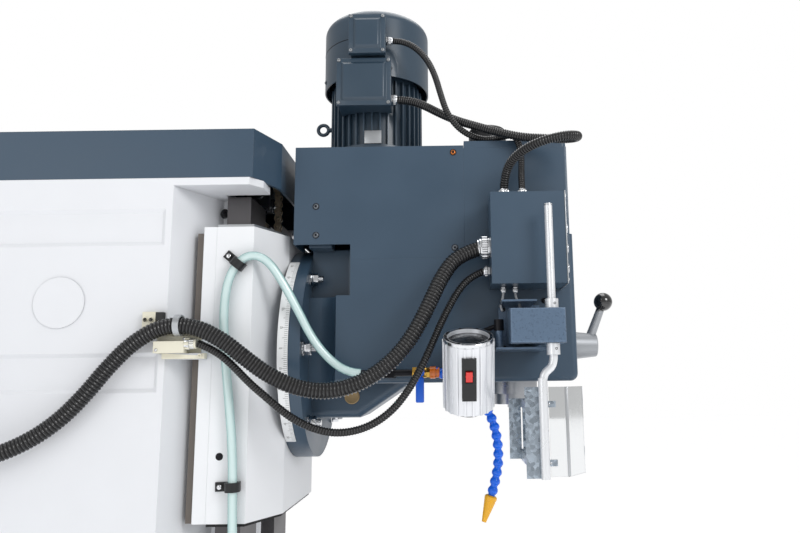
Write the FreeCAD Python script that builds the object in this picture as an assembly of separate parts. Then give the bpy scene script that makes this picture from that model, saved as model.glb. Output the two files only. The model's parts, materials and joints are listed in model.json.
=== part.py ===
import FreeCAD, Part
import math
import os

# Bed-type vertical milling machine with a swivelling head. Millimetres, +Z up.
# The origin lies on the floor under the spindle axis. X is the table's travel,
# -Y is the operator's side and the column stands at +Y.

V = FreeCAD.Vector
AX, AY, AZ = V(1, 0, 0), V(0, 1, 0), V(0, 0, 1)

# ---- fits -----------------------------------------------------------------------------
RUN = 0.05          # radial running clearance of a shaft in its hole
GAP = 0.5           # working gap between sliding pieces
WALL = 3.0          # sheet metal

# ---- base -----------------------------------------------------------------------------
BASE_HALF = 330.0
BASE_FRONT = -480.0
BASE_BACK = 1150.0
BASE_TOP = 540.0
BASE_WALL = 35.0
BASE_DECK = 70.0
FOOT_OUT = 50.0
FOOT_H = 60.0
ANCHOR_X = 355.0
ANCHOR_FRONT = -400.0
ANCHOR_BACK = 1100.0
ANCHOR_R = 9.0
WAY_IN = 150.0
WAY_OUT = 250.0
WAY_H = 40.0
TRAY_HALF = 480.0
TRAY_FRONT = -560.0
TRAY_BACK = 640.0
TRAY_Z = 400.0
TRAY_RIM = 70.0
TRAY_SHEET = 4.0

# ---- saddle and table -----------------------------------------------------------------
SADDLE_X = 300.0
SADDLE_Y = 230.0
SADDLE_TOP = 700.0
RISER_Y = 110.0
RISER_TOP = 730.0
TABLE_X = 650.0
TABLE_Y = 160.0
TABLE_TOP = 850.0
SLOT_W = 18.0
SLOT_DEEP = 30.0
SLOT_HEAD_W = 30.0
SLOT_HEAD_H = 13.0
SLOT_PITCH = 80.0
TABLE_SCREW_Z = 762.0
TABLE_SCREW_R = 16.0
CROSS_SCREW_Z = 612.0
CROSS_SCREW_R = 14.0
END_PLATE = 40.0
WHEEL_R = 105.0
WHEEL_RIM = 11.0
WHEEL_HUB_R = 28.0
GRIP_R = 13.0
GRIP_LEN = 80.0

# ---- column ---------------------------------------------------------------------------
COL_HALF = 300.0
COL_FRONT = 712.0
COL_BACK = 1150.0
COL_TOP = 2066.0
COL_WALL = 30.0
NECK_HALF = 165.0
NECK_BACK = 651.0
NECK_FRONT = 631.5
PLATE_T = 16.0
PLATE_FRONT = 515.0
PLATE_SIDE = 550.0
PLATE_NOSE = 200.0
EAR_IN = 215.0             # half gap between the two front ears of the plate under the cap
EAR_FRONT = 535.0
EAR_NOSE = 268.0
EAR_SIDE = 556.0
PANEL_Y0 = 733.0
PANEL_Y1 = 1120.0
PANEL_DEEP = 5.0
PANEL_BEVEL = 9.0
PANELS_Z = ((1932.0, 1993.0), (1636.0, 1699.0))
HATCH_Y = 931.0
HATCH_Z = 1809.0
HATCH_R = 52.0
HATCH_T = 2.5
RAIL_IN = 80.0
RAIL_OUT = 200.0
RAIL_FRONT = 580.0
CAP_TOP = 2171.0
CAP_WALL = 6.0

# ---- counterweight chain --------------------------------------------------------------
PITCH = 19.05
ROLLER_R = 5.9
TEETH = 14
SPROCKET_R = PITCH / 2 / math.sin(math.pi / TEETH)
CHAIN_Y = 570.0
SPROCKET_Z = 2104.0
CHAIN_SPAN = 14
PLATE_IN = 6.0
LINK_T = 2.5
LINK_H = 18.0
FRONT_LINKS = 34
REAR_LINKS = 60
AXLE_R = 10.0
WEIGHT_TOP = 1260.0
WEIGHT_BOTTOM = 600.0
WEIGHT_HALF = 230.0

# ---- slide ----------------------------------------------------------------------------
SLIDE_HALF = 260.0
SLIDE_FRONT = 505.0
SLIDE_SIDE = 554.0
SLIDE_NOSE = 150.0
SLIDE_SEAM = 632.0
SLIDE_Z0 = 1371.0
SLIDE_Z1 = 1970.0
KEEPER_BACK = 659.0
KEEPER_STEP = 215.0
KEEPER_IN = 170.0
KEEPER_THIN = 650.0
STRIP_IN = 222.0
STRIP_OUT = 250.0
STRIP_BACK = 675.0
WIPER_T = 6.0
POCKET_HALF = 75.0
POCKET_FRONT = 540.0
LIFT_SCREW_Y = 606.0
LIFT_SCREW_R = 15.0
LIFT_NUT_R = 21.5
LIFT_NUT_Z = 1400.0

# ---- head -----------------------------------------------------------------------------
TILT_Z = 1715.0
FLANGE_R = 242.0
FLANGE_FRONT = 457.0
FLANGE_BACK = 504.6
SCALE_T = 1.5
SCALE_Y0 = 482.0
SCALE_Y1 = 504.0
SCALE_HALF_ANGLE = 54.0
STUD_CIRCLE = 215.0
STUD_ANGLE = 47.0
HEAD_HALF = 190.0
HEAD_FRONT = -128.0
HEAD_UPPER_FRONT = -121.0
HEAD_UPPER_Z = 1960.0
HEAD_BOTTOM = 1640.0
HEAD_TOP = 2160.0
DECK_FRONT = 110.0
DECK_STEP = 362.0
DECK_LOW = 1909.0
DECK_HIGH = 1943.0
POCKET_X = 120.0
POCKET_Z0 = 1830.0
OIL_ROOM_X = 150.0         # half width of the gear and oil room
KEEL_HALF = 105.0
KEEL_Z = 1565.0
KEEL_REAR = 350.0
KEEL_FRONT = 235.0
LID_TOP = 2176.0
LID_BACK = 109.0
COVER_BACK = 487.0
COVER_TOP = 2166.0
CAP_Y = 45.0
CAP_R = 47.0
CAP_Z = 2271.0
PLUG_Y = 367.0
PLUG_Z = 1612.0
PLUG_R = 17.0

# ---- spindle and drive ----------------------------------------------------------------
NOSE_R = 44.45
NOSE_Z = 1588.0
NOSE_TOP = 1620.0
TAPER_R = 22.225
TAPER_DEEP = 93.4
DRAWBAR_R = 8.5
SPINDLE_R = 35.0
SPINDLE_TOP = 2095.0
SLEEVE_R = 60.0
SLEEVE_Z = 1612.0
SLEEVE_BORE = 50.0
BEARING_Z = (1640.0, 1700.0, 1900.0)
BEARING_H = 24.0
PULLEY_Z0 = 2010.0
PULLEY_Z1 = 2060.0
SPINDLE_PULLEY_R = 85.0
MOTOR_PULLEY_R = 55.0
BELT_T = 6.0
BELT_W = 38.0
MOTOR_Y = 325.0
MOTOR_R = 104.0
MOTOR_FIN_R = 114.0
MOTOR_FINS = 36
MOTOR_FIN_T = 4.0
MOTOR_BASE = 2180.0
COWL_Z = 2365.0
COWL_R = 131.0
COWL_TOP = 2540.0
SHAFT_R = 14.0

# ---- control box and guard ------------------------------------------------------------
BOX_OUT = 290.0
BOX_FRONT = -96.0
BOX_BACK = 58.0
BOX_Z0 = 1837.0
BOX_Z1 = 2030.0
PANEL_T = 3.0
BUTTON_X = -240.0
BUTTONS_Z = (1960.0, 1917.0, 1874.0)
BUTTON_R = 11.0
BUTTON_TRAVEL = 4.0
GUARD_X = -330.0
GUARD_Y = -56.0
GUARD_R = 8.0
GUARD_TOP = 1992.0
SWITCH_Z0 = 1713.0
SWITCH_Z1 = 1781.0
SWITCH_Y0 = -80.0
SWITCH_Y1 = 28.0
SWITCH_X0 = -350.0
SWITCH_X1 = -262.0
TUBE_Y = -33.0
TUBE_R = 9.0
SHIELD_Z0 = 1457.0
SHIELD_Z1 = 1629.0

# ---- lever, lamp, coolant -------------------------------------------------------------
BALL_R = 21.5
BALL_BORE = 9.6
ARM_ROOT_R = 11.0
ARM_TIP_R = 9.0
BALL_SOCKET = 12.0         # depth of the socket below the ball's centre
HUB_RING_R = 34.5
LEVER_X = -60.0
LEVER_Z = 1721.0
LAMP_R = 50.0
LAMP_X = -320.0
LAMP_Y = 109.0
LAMP_Z0 = 1608.0
LAMP_Z1 = 1748.0
LAMP_TILT = -24.0
ROCKER_Z = 1694.0          # height of the rocker's pin before the lamp is tilted
PIVOT_X = -258.0
PIVOT_Z = 1738.0
ARM_X = -285.0
ARM_Y = 46.0
ARM_Z = 1742.0
TAP_X = -230.0
TAP_Z = 1661.0
TAP_Y = 208.0

# ---- cabinet --------------------------------------------------------------------------
CAB_HALF = 420.0
CAB_Y0 = 1160.0
CAB_Y1 = 1400.0
CAB_Z0 = 760.0
CAB_Z1 = 1760.0
CAB_WALL = 3.0
DOOR_T = 18.0
PIN_R = 5.0

# ---- conduits and hoses ---------------------------------------------------------------
MAIN_R = 16.5
SMALL_R = 8.0
HOSE_R = 9.0
MOTOR_A_R = 10.0
MOTOR_B_R = 7.5
BEAD_R = 10.0
THIN_R = 2.5

MAIN_ROUTE = [
    (-370, 1126.5, 1500), (-366, 1062, 1500), (-350, 1000, 1516), (-338, 944, 1542),
    (-331, 893, 1580), (-330, 848, 1628), (-330, 808, 1680), (-330, 762, 1727),
    (-331, 706, 1758), (-331, 644, 1756), (-330, 590, 1729), (-330, 546, 1694),
    (-330, 500, 1660), (-330, 448, 1635), (-329, 392, 1625), (-327, 336, 1634),
    (-322, 285, 1661), (-314, 242, 1700), (-303, 210, 1748), (-290, 184, 1802),
    (-274, 160, 1856), (-256, 126, 1904), (-240, 74, 1921),
]
SMALL_ROUTE = [
    (-320, 639, 1722), (-323, 604, 1708), (-325, 568, 1678), (-325, 536, 1645),
    (-325, 500, 1615), (-325, 462, 1583), (-325, 421, 1560), (-322, 379, 1547),
    (-318, 336, 1548), (-312, 294, 1562), (-305, 256, 1590), (-297, 226, 1629),
    (-289, 203, 1670), (-279, 182, 1716), (-266, 160, 1768), (-252, 127, 1830),
    (-243, 98, 1860), (-240, 73, 1870),
]
FEED_ROUTE = [
    (-395, 715, 521), (-394, 712, 566), (-378, 696, 628), (-348, 664, 705), (-316, 628, 800),
    (-292, 598, 912), (-279, 581, 1035), (-275, 573, 1160), (-275, 570, 1290),
    (-275, 575, 1400), (-275, 578, 1510), (-275, 590, 1615), (-275, 602, 1712),
    (-275, 608, 1800), (-275, 598, 1868), (-275, 565, 1908), (-271, 524, 1900),
    (-263, 490, 1850), (-252, 460, 1792), (-242, 432, 1734), (-235, 396, 1689),
    (-231, 357, 1663), (-230, 331.4, 1661.5),
]
MOTOR_A_ROUTE = [
    (-138, 262, 2297), (-141, 236, 2295), (-150, 200, 2279), (-161, 163, 2254),
    (-173, 126, 2232), (-188, 85, 2213), (-205, 38, 2192), (-222, -16, 2172),
    (-232, -68, 2165), (-244, -106, 2158), (-272, -130, 2151), (-306, -128, 2144),
    (-328, -98, 2137), (-324, -58, 2130), (-304, -20, 2120), (-272, 10, 2104),
    (-247, 23, 2078), (-240, 25, 2048),
]
MOTOR_B_ROUTE = [
    (-150, 272, 2440), (-153, 250, 2438), (-162, 218, 2418), (-172, 190, 2382),
    (-182, 172, 2338), (-190, 160, 2290), (-194, 147, 2244), (-190, 124, 2210),
    (-178, 92, 2191), (-166, 56, 2186), (-172, 22, 2190), (-196, -4, 2189),
    (-205, -14, 2164), (-214, -18, 2128), (-218, -16, 2096), (-234, -14, 2072),
    (-240, -14, 2048),
]
BEAD_ROUTE = [
    (-230, 168, 1661), (-228, 152, 1655), (-216, 136, 1636), (-196, 122, 1620),
    (-166, 106, 1610), (-136, 86, 1602), (-112, 64, 1580), (-102, 48, 1540),
    (-100, 41, 1490), (-100, 45, 1440), (-100, 60, 1392),
]
WIRE_A = [
    (-240, 32, 1824), (-240, 33, 1814), (-243, 37, 1803), (-250, 39, 1793), (-256, 36, 1784),
]
WIRE_B = [
    (-240, 7, 1824), (-240, 6, 1815), (-243, 2, 1804), (-250, -2, 1793), (-256, -2, 1784),
]


# ---- helpers --------------------------------------------------------------------------
def box(x0, x1, y0, y1, z0, z1):
    """Block between two corners."""
    return Part.makeBox(x1 - x0, y1 - y0, z1 - z0, V(x0, y0, z0))


def rod(x, y, z, r, length, axis=AZ):
    """Cylinder that starts at a point and runs along an axis."""
    return Part.makeCylinder(r, length, V(x, y, z), axis)


def cone(x, y, z, r0, r1, length, axis=AZ):
    """Tapered cylinder."""
    return Part.makeCone(r0, r1, length, V(x, y, z), axis)


def ring(x, y, z, r_out, r_in, length, axis=AZ):
    """Cylinder with a hole along it."""
    return rod(x, y, z, r_out, length, axis).cut(rod(x, y, z, r_in, length, axis))


def prism(points, move):
    """Closed outline pushed along a vector."""
    corners = [V(*p) for p in points]
    return Part.Face(Part.makePolygon(corners + corners[:1])).extrude(move)


def plan(points, z0, z1):
    """Outline in X and Y, from z0 to z1."""
    return prism([(x, y, z0) for x, y in points], V(0, 0, z1 - z0))


def side(points, half):
    """Outline in Y and Z, as wide as half to each side of X = 0."""
    return prism([(-half, y, z) for y, z in points], V(2 * half, 0, 0))


def mirror_x(shape):
    """The same shape on the other side of X = 0."""
    return shape.mirror(V(0, 0, 0), AX)


def both(shape):
    """A shape and its mirror image across X = 0."""
    return [shape, mirror_x(shape)]


def soften(shape, radius, test):
    """Round the straight edges that pass a test on their middle and direction."""
    picked = []
    for edge in shape.Edges:
        if edge.Curve.TypeId != "Part::GeomLine":
            continue
        if test(edge.CenterOfMass, edge.tangentAt(edge.FirstParameter)):
            picked.append(edge)
    return shape.makeFillet(radius, picked)


def upright(direction):
    """True for an edge that runs along Z."""
    return abs(direction.z) > 0.99


def along_x(direction):
    """True for an edge that runs along X."""
    return abs(direction.x) > 0.99


def hexagon(x, y, z, flats, length, axis):
    """Hexagonal bar, such as a nut, along an axis."""
    circle = flats / math.sqrt(3)
    other = AX if abs(axis.x) < 0.5 else AY
    third = axis.cross(other)
    corners = []
    for k in range(6):
        turn = math.pi / 3 * k
        corners.append(V(x, y, z) + other * (circle * math.cos(turn)) + third * (circle * math.sin(turn)))
    return Part.Face(Part.makePolygon(corners + corners[:1])).extrude(axis * length)


def socket_screw(x, y, z, r, axis):
    """Cap screw head with its hexagon socket, standing on a face."""
    head = rod(x, y, z, r, r * 1.1, axis)
    deep = axis * (r * 0.5)
    return head.cut(hexagon(x + deep.x, y + deep.y, z + deep.z, r, r, axis))


def tube_path(points):
    """Straight runs joined by tangent arcs, each as large as its two runs allow."""
    route = [V(*p) for p in points]
    edges = []
    last = route[0]
    smallest = None
    for before, corner, after in zip(route, route[1:], route[2:]):
        back = before - corner
        ahead = after - corner
        half = (math.pi - back.getAngle(ahead)) / 2
        cut = 0.45 * min(back.Length, ahead.Length)
        radius = cut / math.tan(half)
        smallest = radius if smallest is None else min(smallest, radius)
        start = corner + V(back).normalize() * cut
        end = corner + V(ahead).normalize() * cut
        inward = (V(back).normalize() + V(ahead).normalize()).normalize()
        middle = corner + inward * (radius / math.cos(half) - radius)
        edges.append(Part.LineSegment(last, start).toShape())
        edges.append(Part.Arc(start, middle, end).toShape())
        last = end
    edges.append(Part.LineSegment(last, route[-1]).toShape())
    return Part.Wire(edges), smallest


def tube(name, points, radius):
    """Plain round tube along a route, with its bends and volume printed."""
    path, smallest = tube_path(points)
    first = V(*points[0])
    circle = Part.Wire(Part.Circle(first, V(*points[1]) - first, radius).toShape())
    solid = path.makePipeShell([circle], True, True)
    if not isinstance(solid, Part.Solid):
        solid = solid.Solids[0]
    wanted = math.pi * radius ** 2 * path.Length
    print(name, "length", round(path.Length), "smallest radius", round(smallest),
          "in diameters", round(smallest / radius / 2, 1), "volume ratio", round(solid.Volume / wanted, 4))
    return solid


def save(name, *solids):
    """Write one node as its own STEP file."""
    flat = []
    for s in solids:
        flat.extend(s if isinstance(s, (list, tuple)) else [s])
    pieces = []
    for s in flat:
        pieces.extend(s.Solids)
    shape = pieces[0] if len(pieces) == 1 else Part.makeCompound(pieces)
    for piece in pieces:
        if not piece.isValid() or piece.Volume <= 0:
            print("CHECK", name, piece.isValid(), piece.Volume)
    shape.exportStep("parts/" + name + ".step")


# ---- base, ways, tray and pump --------------------------------------------------------
def base():
    """Hollow cast bed with a closed floor, anchor holes and a foot flange."""
    body = box(-BASE_HALF, BASE_HALF, BASE_FRONT, BASE_BACK, 0, BASE_TOP)
    body = soften(body, 18, lambda c, d: upright(d))
    foot = box(-BASE_HALF - FOOT_OUT, BASE_HALF + FOOT_OUT, BASE_FRONT - FOOT_OUT,
               BASE_BACK + FOOT_OUT, 0, FOOT_H)
    foot = soften(foot, 25, lambda c, d: upright(d))
    body = body.fuse(foot)
    inner = BASE_HALF - BASE_WALL
    front_room = box(-inner, inner, BASE_FRONT + BASE_WALL, COL_FRONT - BASE_WALL * 2,
                     FOOT_H, BASE_TOP - BASE_DECK)
    way_gap = box(-WAY_IN + BASE_WALL, WAY_IN - BASE_WALL, BASE_FRONT + BASE_WALL * 2,
                  NECK_FRONT - BASE_WALL, FOOT_H, BASE_TOP + 1)
    rear_room = box(-COL_HALF + COL_WALL, COL_HALF - COL_WALL, COL_FRONT + COL_WALL,
                    COL_BACK - COL_WALL, FOOT_H, BASE_TOP + 1)
    body = body.cut(front_room).cut(way_gap).cut(rear_room)
    for x in (-ANCHOR_X, ANCHOR_X):
        for y in (ANCHOR_FRONT, ANCHOR_BACK):
            body = body.cut(rod(x, y, -1, ANCHOR_R, FOOT_H + 2))
    ways = both(box(WAY_IN, WAY_OUT, BASE_FRONT, -BASE_FRONT, BASE_TOP, BASE_TOP + WAY_H))
    save("base", body.fuse(ways))


def chip_tray():
    """Sheet tray round the base that catches chips and coolant."""
    outer = box(-TRAY_HALF, TRAY_HALF, TRAY_FRONT, TRAY_BACK, TRAY_Z, TRAY_Z + TRAY_RIM)
    outer = soften(outer, 30, lambda c, d: upright(d))
    t = TRAY_SHEET
    inner = box(-TRAY_HALF + t, TRAY_HALF - t, TRAY_FRONT + t, TRAY_BACK - t,
                TRAY_Z + t, TRAY_Z + TRAY_RIM + 1)
    inner = soften(inner, 30 - t, lambda c, d: upright(d))
    hole = box(-BASE_HALF, BASE_HALF, BASE_FRONT, BASE_BACK, TRAY_Z - 1, BASE_TOP)
    save("chip_tray", outer.cut(inner).cut(hole))


def coolant_pump():
    """Submersible pump motor on a tank box at the base's left side."""
    x, y = -440.0, 780.0
    tank = box(x - 70, -BASE_HALF - FOOT_OUT, y - 90, y + 110, 0, 330)
    tank = soften(tank, 8, lambda c, d: upright(d))
    flange = rod(x, y, 330, 62, 12)
    body = rod(x, y, 342, 50, 130).fuse(cone(x, y, 472, 50, 40, 22))
    outlet = rod(-395, 715, 330, 11, 180).fuse(rod(-395, 715, 510, 12, 10))
    terminal = box(x - 66, x - 44, y - 25, y + 25, 380, 440)
    save("coolant_pump", tank, flange.fuse([body, terminal]), outlet)


# ---- saddle, table and their screws ---------------------------------------------------
def saddle():
    """Cross slide on the base ways, with the table's guide and both nuts."""
    z0 = BASE_TOP + WAY_H + GAP
    body = box(-SADDLE_X, SADDLE_X, -SADDLE_Y, SADDLE_Y, z0, SADDLE_TOP)
    body = soften(body, 14, lambda c, d: upright(d))
    riser = box(-SADDLE_X, SADDLE_X, -RISER_Y, RISER_Y, SADDLE_TOP - 60, RISER_TOP)
    lips = both(box(WAY_OUT + GAP, SADDLE_X, -SADDLE_Y, SADDLE_Y, BASE_TOP + 4, z0))
    body = body.fuse(riser).fuse(lips[0]).fuse(lips[1])
    tunnel = box(-WAY_IN + 5, WAY_IN - 5, -SADDLE_Y - 1, SADDLE_Y + 1, z0 - 1, 655)
    body = body.cut(tunnel)
    cross_nut = box(-38, 38, -45, 45, CROSS_SCREW_Z - 32, 655)
    body = body.fuse(cross_nut).cut(rod(0, -60, CROSS_SCREW_Z, CROSS_SCREW_R + RUN, 120, AY))
    table_nut = box(-50, 50, -34, 34, RISER_TOP, TABLE_SCREW_Z + 26)
    body = body.fuse(table_nut).cut(rod(-60, 0, TABLE_SCREW_Z, TABLE_SCREW_R + RUN, 120, AX))
    save("saddle", body)


def table():
    """Table with three T slots, end troughs and a tunnel for its screw."""
    z0 = RISER_TOP + GAP
    body = box(-TABLE_X, TABLE_X, -TABLE_Y, TABLE_Y, z0 + 38, TABLE_TOP)
    guides = [box(-TABLE_X, TABLE_X, y0, y1, SADDLE_TOP + 6, z0 + 38)
              for y0, y1 in ((-TABLE_Y, -RISER_Y - GAP), (RISER_Y + GAP, TABLE_Y))]
    pads = [box(-TABLE_X, TABLE_X, y0, y1, z0, z0 + 38)
            for y0, y1 in ((-RISER_Y - GAP, -40), (40, RISER_Y + GAP))]
    body = body.fuse(guides + pads)
    slots = [box(-TABLE_X - 1, TABLE_X + 1, -40, 40, z0, TABLE_SCREW_Z + 34)]
    for y in (-SLOT_PITCH, 0, SLOT_PITCH):
        slots.append(box(-TABLE_X - 1, TABLE_X + 1, y - SLOT_W / 2, y + SLOT_W / 2,
                         TABLE_TOP - SLOT_DEEP, TABLE_TOP + 1))
        slots.append(box(-TABLE_X - 1, TABLE_X + 1, y - SLOT_HEAD_W / 2, y + SLOT_HEAD_W / 2,
                         TABLE_TOP - SLOT_DEEP - 2, TABLE_TOP - SLOT_DEEP - 2 + SLOT_HEAD_H))
    body = body.cut(slots[0].fuse(slots[1:]))
    plates = []
    for x in (-TABLE_X - END_PLATE, TABLE_X):
        plate = box(x, x + END_PLATE, -60, 60, RISER_TOP + 2, TABLE_TOP - 40)
        plates.append(plate.cut(rod(x - 1, 0, TABLE_SCREW_Z, TABLE_SCREW_R + RUN, END_PLATE + 2, AX)))
    save("table", body.removeSplitter(), plates)


def hand_wheel(x, y, z, axis):
    """Spoked wheel with a turned rim, a hub and a cranked grip."""
    rim = Part.makeTorus(WHEEL_R, WHEEL_RIM, V(x, y, z), axis)
    hub = rod(x, y, z, WHEEL_HUB_R, 46, axis)
    hub.translate(axis * -23)
    cross = AZ.cross(axis)
    spokes = []
    for k in range(3):
        turn = math.radians(90 + 120 * k)
        direction = AZ * math.sin(turn) + cross * math.cos(turn)
        spokes.append(Part.makeCylinder(9, WHEEL_R, V(x, y, z), direction))
    seat = V(x, y, z) + AZ * WHEEL_R
    grip = Part.makeCylinder(GRIP_R * 0.6, 24, seat, axis)
    grip = grip.fuse(Part.makeCone(GRIP_R * 0.7, GRIP_R, GRIP_LEN - 20, seat + axis * 24, axis))
    wheel = rim.fuse([hub] + spokes + [grip])
    return wheel


def table_drive():
    """Table screw with a wheel at each end, and the cross screw with its wheel."""
    wheel_x = TABLE_X + END_PLATE + 40
    screw = rod(-wheel_x - 20, 0, TABLE_SCREW_Z, TABLE_SCREW_R, 2 * wheel_x + 40, AX)
    left = hand_wheel(-wheel_x, 0, TABLE_SCREW_Z, V(-1, 0, 0))
    right = hand_wheel(wheel_x, 0, TABLE_SCREW_Z, AX)
    save("table_screw", screw.fuse([left, right]))
    wheel_y = BASE_FRONT - 130
    screw = rod(0, wheel_y - 20, CROSS_SCREW_Z, CROSS_SCREW_R, -wheel_y + 20 - BASE_FRONT - 30, AY)
    wheel = hand_wheel(0, wheel_y, CROSS_SCREW_Z, V(0, -1, 0))
    save("cross_screw", screw.fuse(wheel))


def cross_bearing():
    """Bearing bracket of the cross screw on the base's front."""
    bracket = box(-60, 60, BASE_FRONT - 40, BASE_FRONT, BASE_TOP - 60, CROSS_SCREW_Z + 34)
    bracket = bracket.fuse(box(-60, 60, BASE_FRONT, BASE_FRONT + 50, BASE_TOP, CROSS_SCREW_Z + 34))
    bore = rod(0, BASE_FRONT - 41, CROSS_SCREW_Z, CROSS_SCREW_R + RUN, 100, AY)
    return bracket.cut(bore)


# ---- column, ways, cap ----------------------------------------------------------------
def column_outline():
    """Plan of the column casting, with its narrow neck behind the ways."""
    half = [(NECK_HALF, NECK_FRONT), (NECK_HALF, NECK_BACK), (COL_HALF, COL_FRONT), (COL_HALF, COL_BACK)]
    return half + [(-x, y) for x, y in reversed(half)]


def top_outline(inset=0.0):
    """Plan of the cap and of the plate under it, with chamfered front corners."""
    half = [(PLATE_NOSE - inset, PLATE_FRONT + inset), (COL_HALF - inset, PLATE_SIDE + inset * 0.4),
            (COL_HALF - inset, COL_BACK - inset)]
    return half + [(-x, y) for x, y in reversed(half)]


def plate_outline():
    """Plan of the plate under the cap: two chamfered ears that leave the chain free."""
    half = [(EAR_IN, NECK_FRONT), (EAR_IN, EAR_FRONT), (EAR_NOSE, EAR_FRONT), (COL_HALF, EAR_SIDE),
            (COL_HALF, COL_BACK)]
    return half + [(-x, y) for x, y in reversed(half)]


def recess(z0, z1):
    """Bevelled recess tool for one side panel."""
    x = -COL_HALF
    b = PANEL_BEVEL
    outer = Part.makePolygon([V(x - 1, PANEL_Y0 - b, z0 - b), V(x - 1, PANEL_Y1 + b, z0 - b),
                              V(x - 1, PANEL_Y1 + b, z1 + b), V(x - 1, PANEL_Y0 - b, z1 + b),
                              V(x - 1, PANEL_Y0 - b, z0 - b)])
    d = x + PANEL_DEEP
    inner = Part.makePolygon([V(d, PANEL_Y0, z0), V(d, PANEL_Y1, z0), V(d, PANEL_Y1, z1),
                              V(d, PANEL_Y0, z1), V(d, PANEL_Y0, z0)])
    return Part.makeLoft([outer, inner], True)


def column():
    """Hollow column casting with side recesses and an overhanging top plate."""
    body = plan(column_outline(), BASE_TOP, COL_TOP - PLATE_T)
    body = body.fuse(plan(plate_outline(), COL_TOP - PLATE_T, COL_TOP))
    room = box(-COL_HALF + COL_WALL, COL_HALF - COL_WALL, COL_FRONT + COL_WALL,
               COL_BACK - COL_WALL, BASE_TOP - 1, COL_TOP - 2 * PLATE_T)
    body = body.cut(room)
    front = CHAIN_Y + SPROCKET_R
    rear = front + CHAIN_SPAN * PITCH
    slot_half = PLATE_IN + LINK_T + 4.5
    for y0, y1 in ((CHAIN_Y - 18, front + 52), (rear - 55, rear + SPROCKET_R + 18)):
        body = body.cut(box(-slot_half, slot_half, y0, y1, COL_TOP - 2 * PLATE_T - 1, COL_TOP + 1))
    for z0, z1 in PANELS_Z:
        tool = recess(z0, z1)
        body = body.cut(tool).cut(mirror_x(tool))
    hatch = rod(-COL_HALF - HATCH_T, HATCH_Y, HATCH_Z, HATCH_R, HATCH_T, AX)
    save("column", body, both(hatch))
    cap = plan(top_outline(), COL_TOP, CAP_TOP)
    cap = cap.cut(plan(top_outline(CAP_WALL), COL_TOP - 1, CAP_TOP - CAP_WALL))
    save("column_cap", cap)
    ways = both(box(RAIL_IN, RAIL_OUT, RAIL_FRONT, NECK_FRONT, 700, COL_TOP - PLATE_T))
    save("column_ways", ways)


# ---- counterweight, chain, lift screw -------------------------------------------------
def sprocket(y, angle):
    """Toothed wheel whose first roller seat lies at an angle from +Y."""
    wheel = rod(-5, y, SPROCKET_Z, SPROCKET_R + 1.0, 10, AX)
    seats = []
    for k in range(TEETH):
        turn = angle + 2 * math.pi * k / TEETH
        seats.append(rod(-6, y + SPROCKET_R * math.cos(turn), SPROCKET_Z + SPROCKET_R * math.sin(turn),
                         ROLLER_R + 0.8, 12, AX))
    wheel = wheel.cut(seats[0].fuse(seats[1:]))
    wheel = wheel.fuse(rod(-12, y, SPROCKET_Z, 24, 24, AX))
    return wheel.cut(rod(-13, y, SPROCKET_Z, AXLE_R + RUN, 26, AX))


def chain_points():
    """Roller centres from the slide, over both sprockets and down to the weight."""
    front = CHAIN_Y + SPROCKET_R
    rear = front + CHAIN_SPAN * PITCH
    step = 2 * math.pi / TEETH
    points = [(CHAIN_Y, SPROCKET_Z - PITCH * k) for k in range(FRONT_LINKS, 0, -1)]
    for k in range(4):
        turn = math.pi - step * k
        points.append((front + SPROCKET_R * math.cos(turn), SPROCKET_Z + SPROCKET_R * math.sin(turn)))
    points += [(front + (k + 0.5) * PITCH, SPROCKET_Z + SPROCKET_R) for k in range(CHAIN_SPAN)]
    for k in range(4):
        turn = step * (3 - k)
        points.append((rear + SPROCKET_R * math.cos(turn), SPROCKET_Z + SPROCKET_R * math.sin(turn)))
    points += [(rear + SPROCKET_R, SPROCKET_Z - PITCH * k) for k in range(1, REAR_LINKS)]
    return points


def chain_strip(x, half):
    """Row of side plates as one thin strip with rounded turns."""
    front = CHAIN_Y + SPROCKET_R
    rear = front + CHAIN_SPAN * PITCH

    def outline(r):
        top = SPROCKET_Z + r
        low_front = SPROCKET_Z - PITCH * FRONT_LINKS - 9
        low_rear = SPROCKET_Z - PITCH * (REAR_LINKS - 1) - 9
        a = r * math.sqrt(0.5)
        return [
            Part.LineSegment(V(x, front - r, low_front), V(x, front - r, SPROCKET_Z)),
            Part.Arc(V(x, front - r, SPROCKET_Z), V(x, front - a, SPROCKET_Z + a), V(x, front, top)),
            Part.LineSegment(V(x, front, top), V(x, rear, top)),
            Part.Arc(V(x, rear, top), V(x, rear + a, SPROCKET_Z + a), V(x, rear + r, SPROCKET_Z)),
            Part.LineSegment(V(x, rear + r, SPROCKET_Z), V(x, rear + r, low_rear)),
        ]

    outer = [s.toShape() for s in outline(SPROCKET_R + half)]
    inner = [s.toShape() for s in outline(SPROCKET_R - half)]
    ends = [Part.LineSegment(outer[0].Vertexes[0].Point, inner[0].Vertexes[0].Point).toShape(),
            Part.LineSegment(outer[-1].Vertexes[1].Point, inner[-1].Vertexes[1].Point).toShape()]
    wire = Part.Wire(Part.__sortEdges__(outer + inner + ends))
    return Part.Face(wire).extrude(V(LINK_T, 0, 0))


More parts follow.
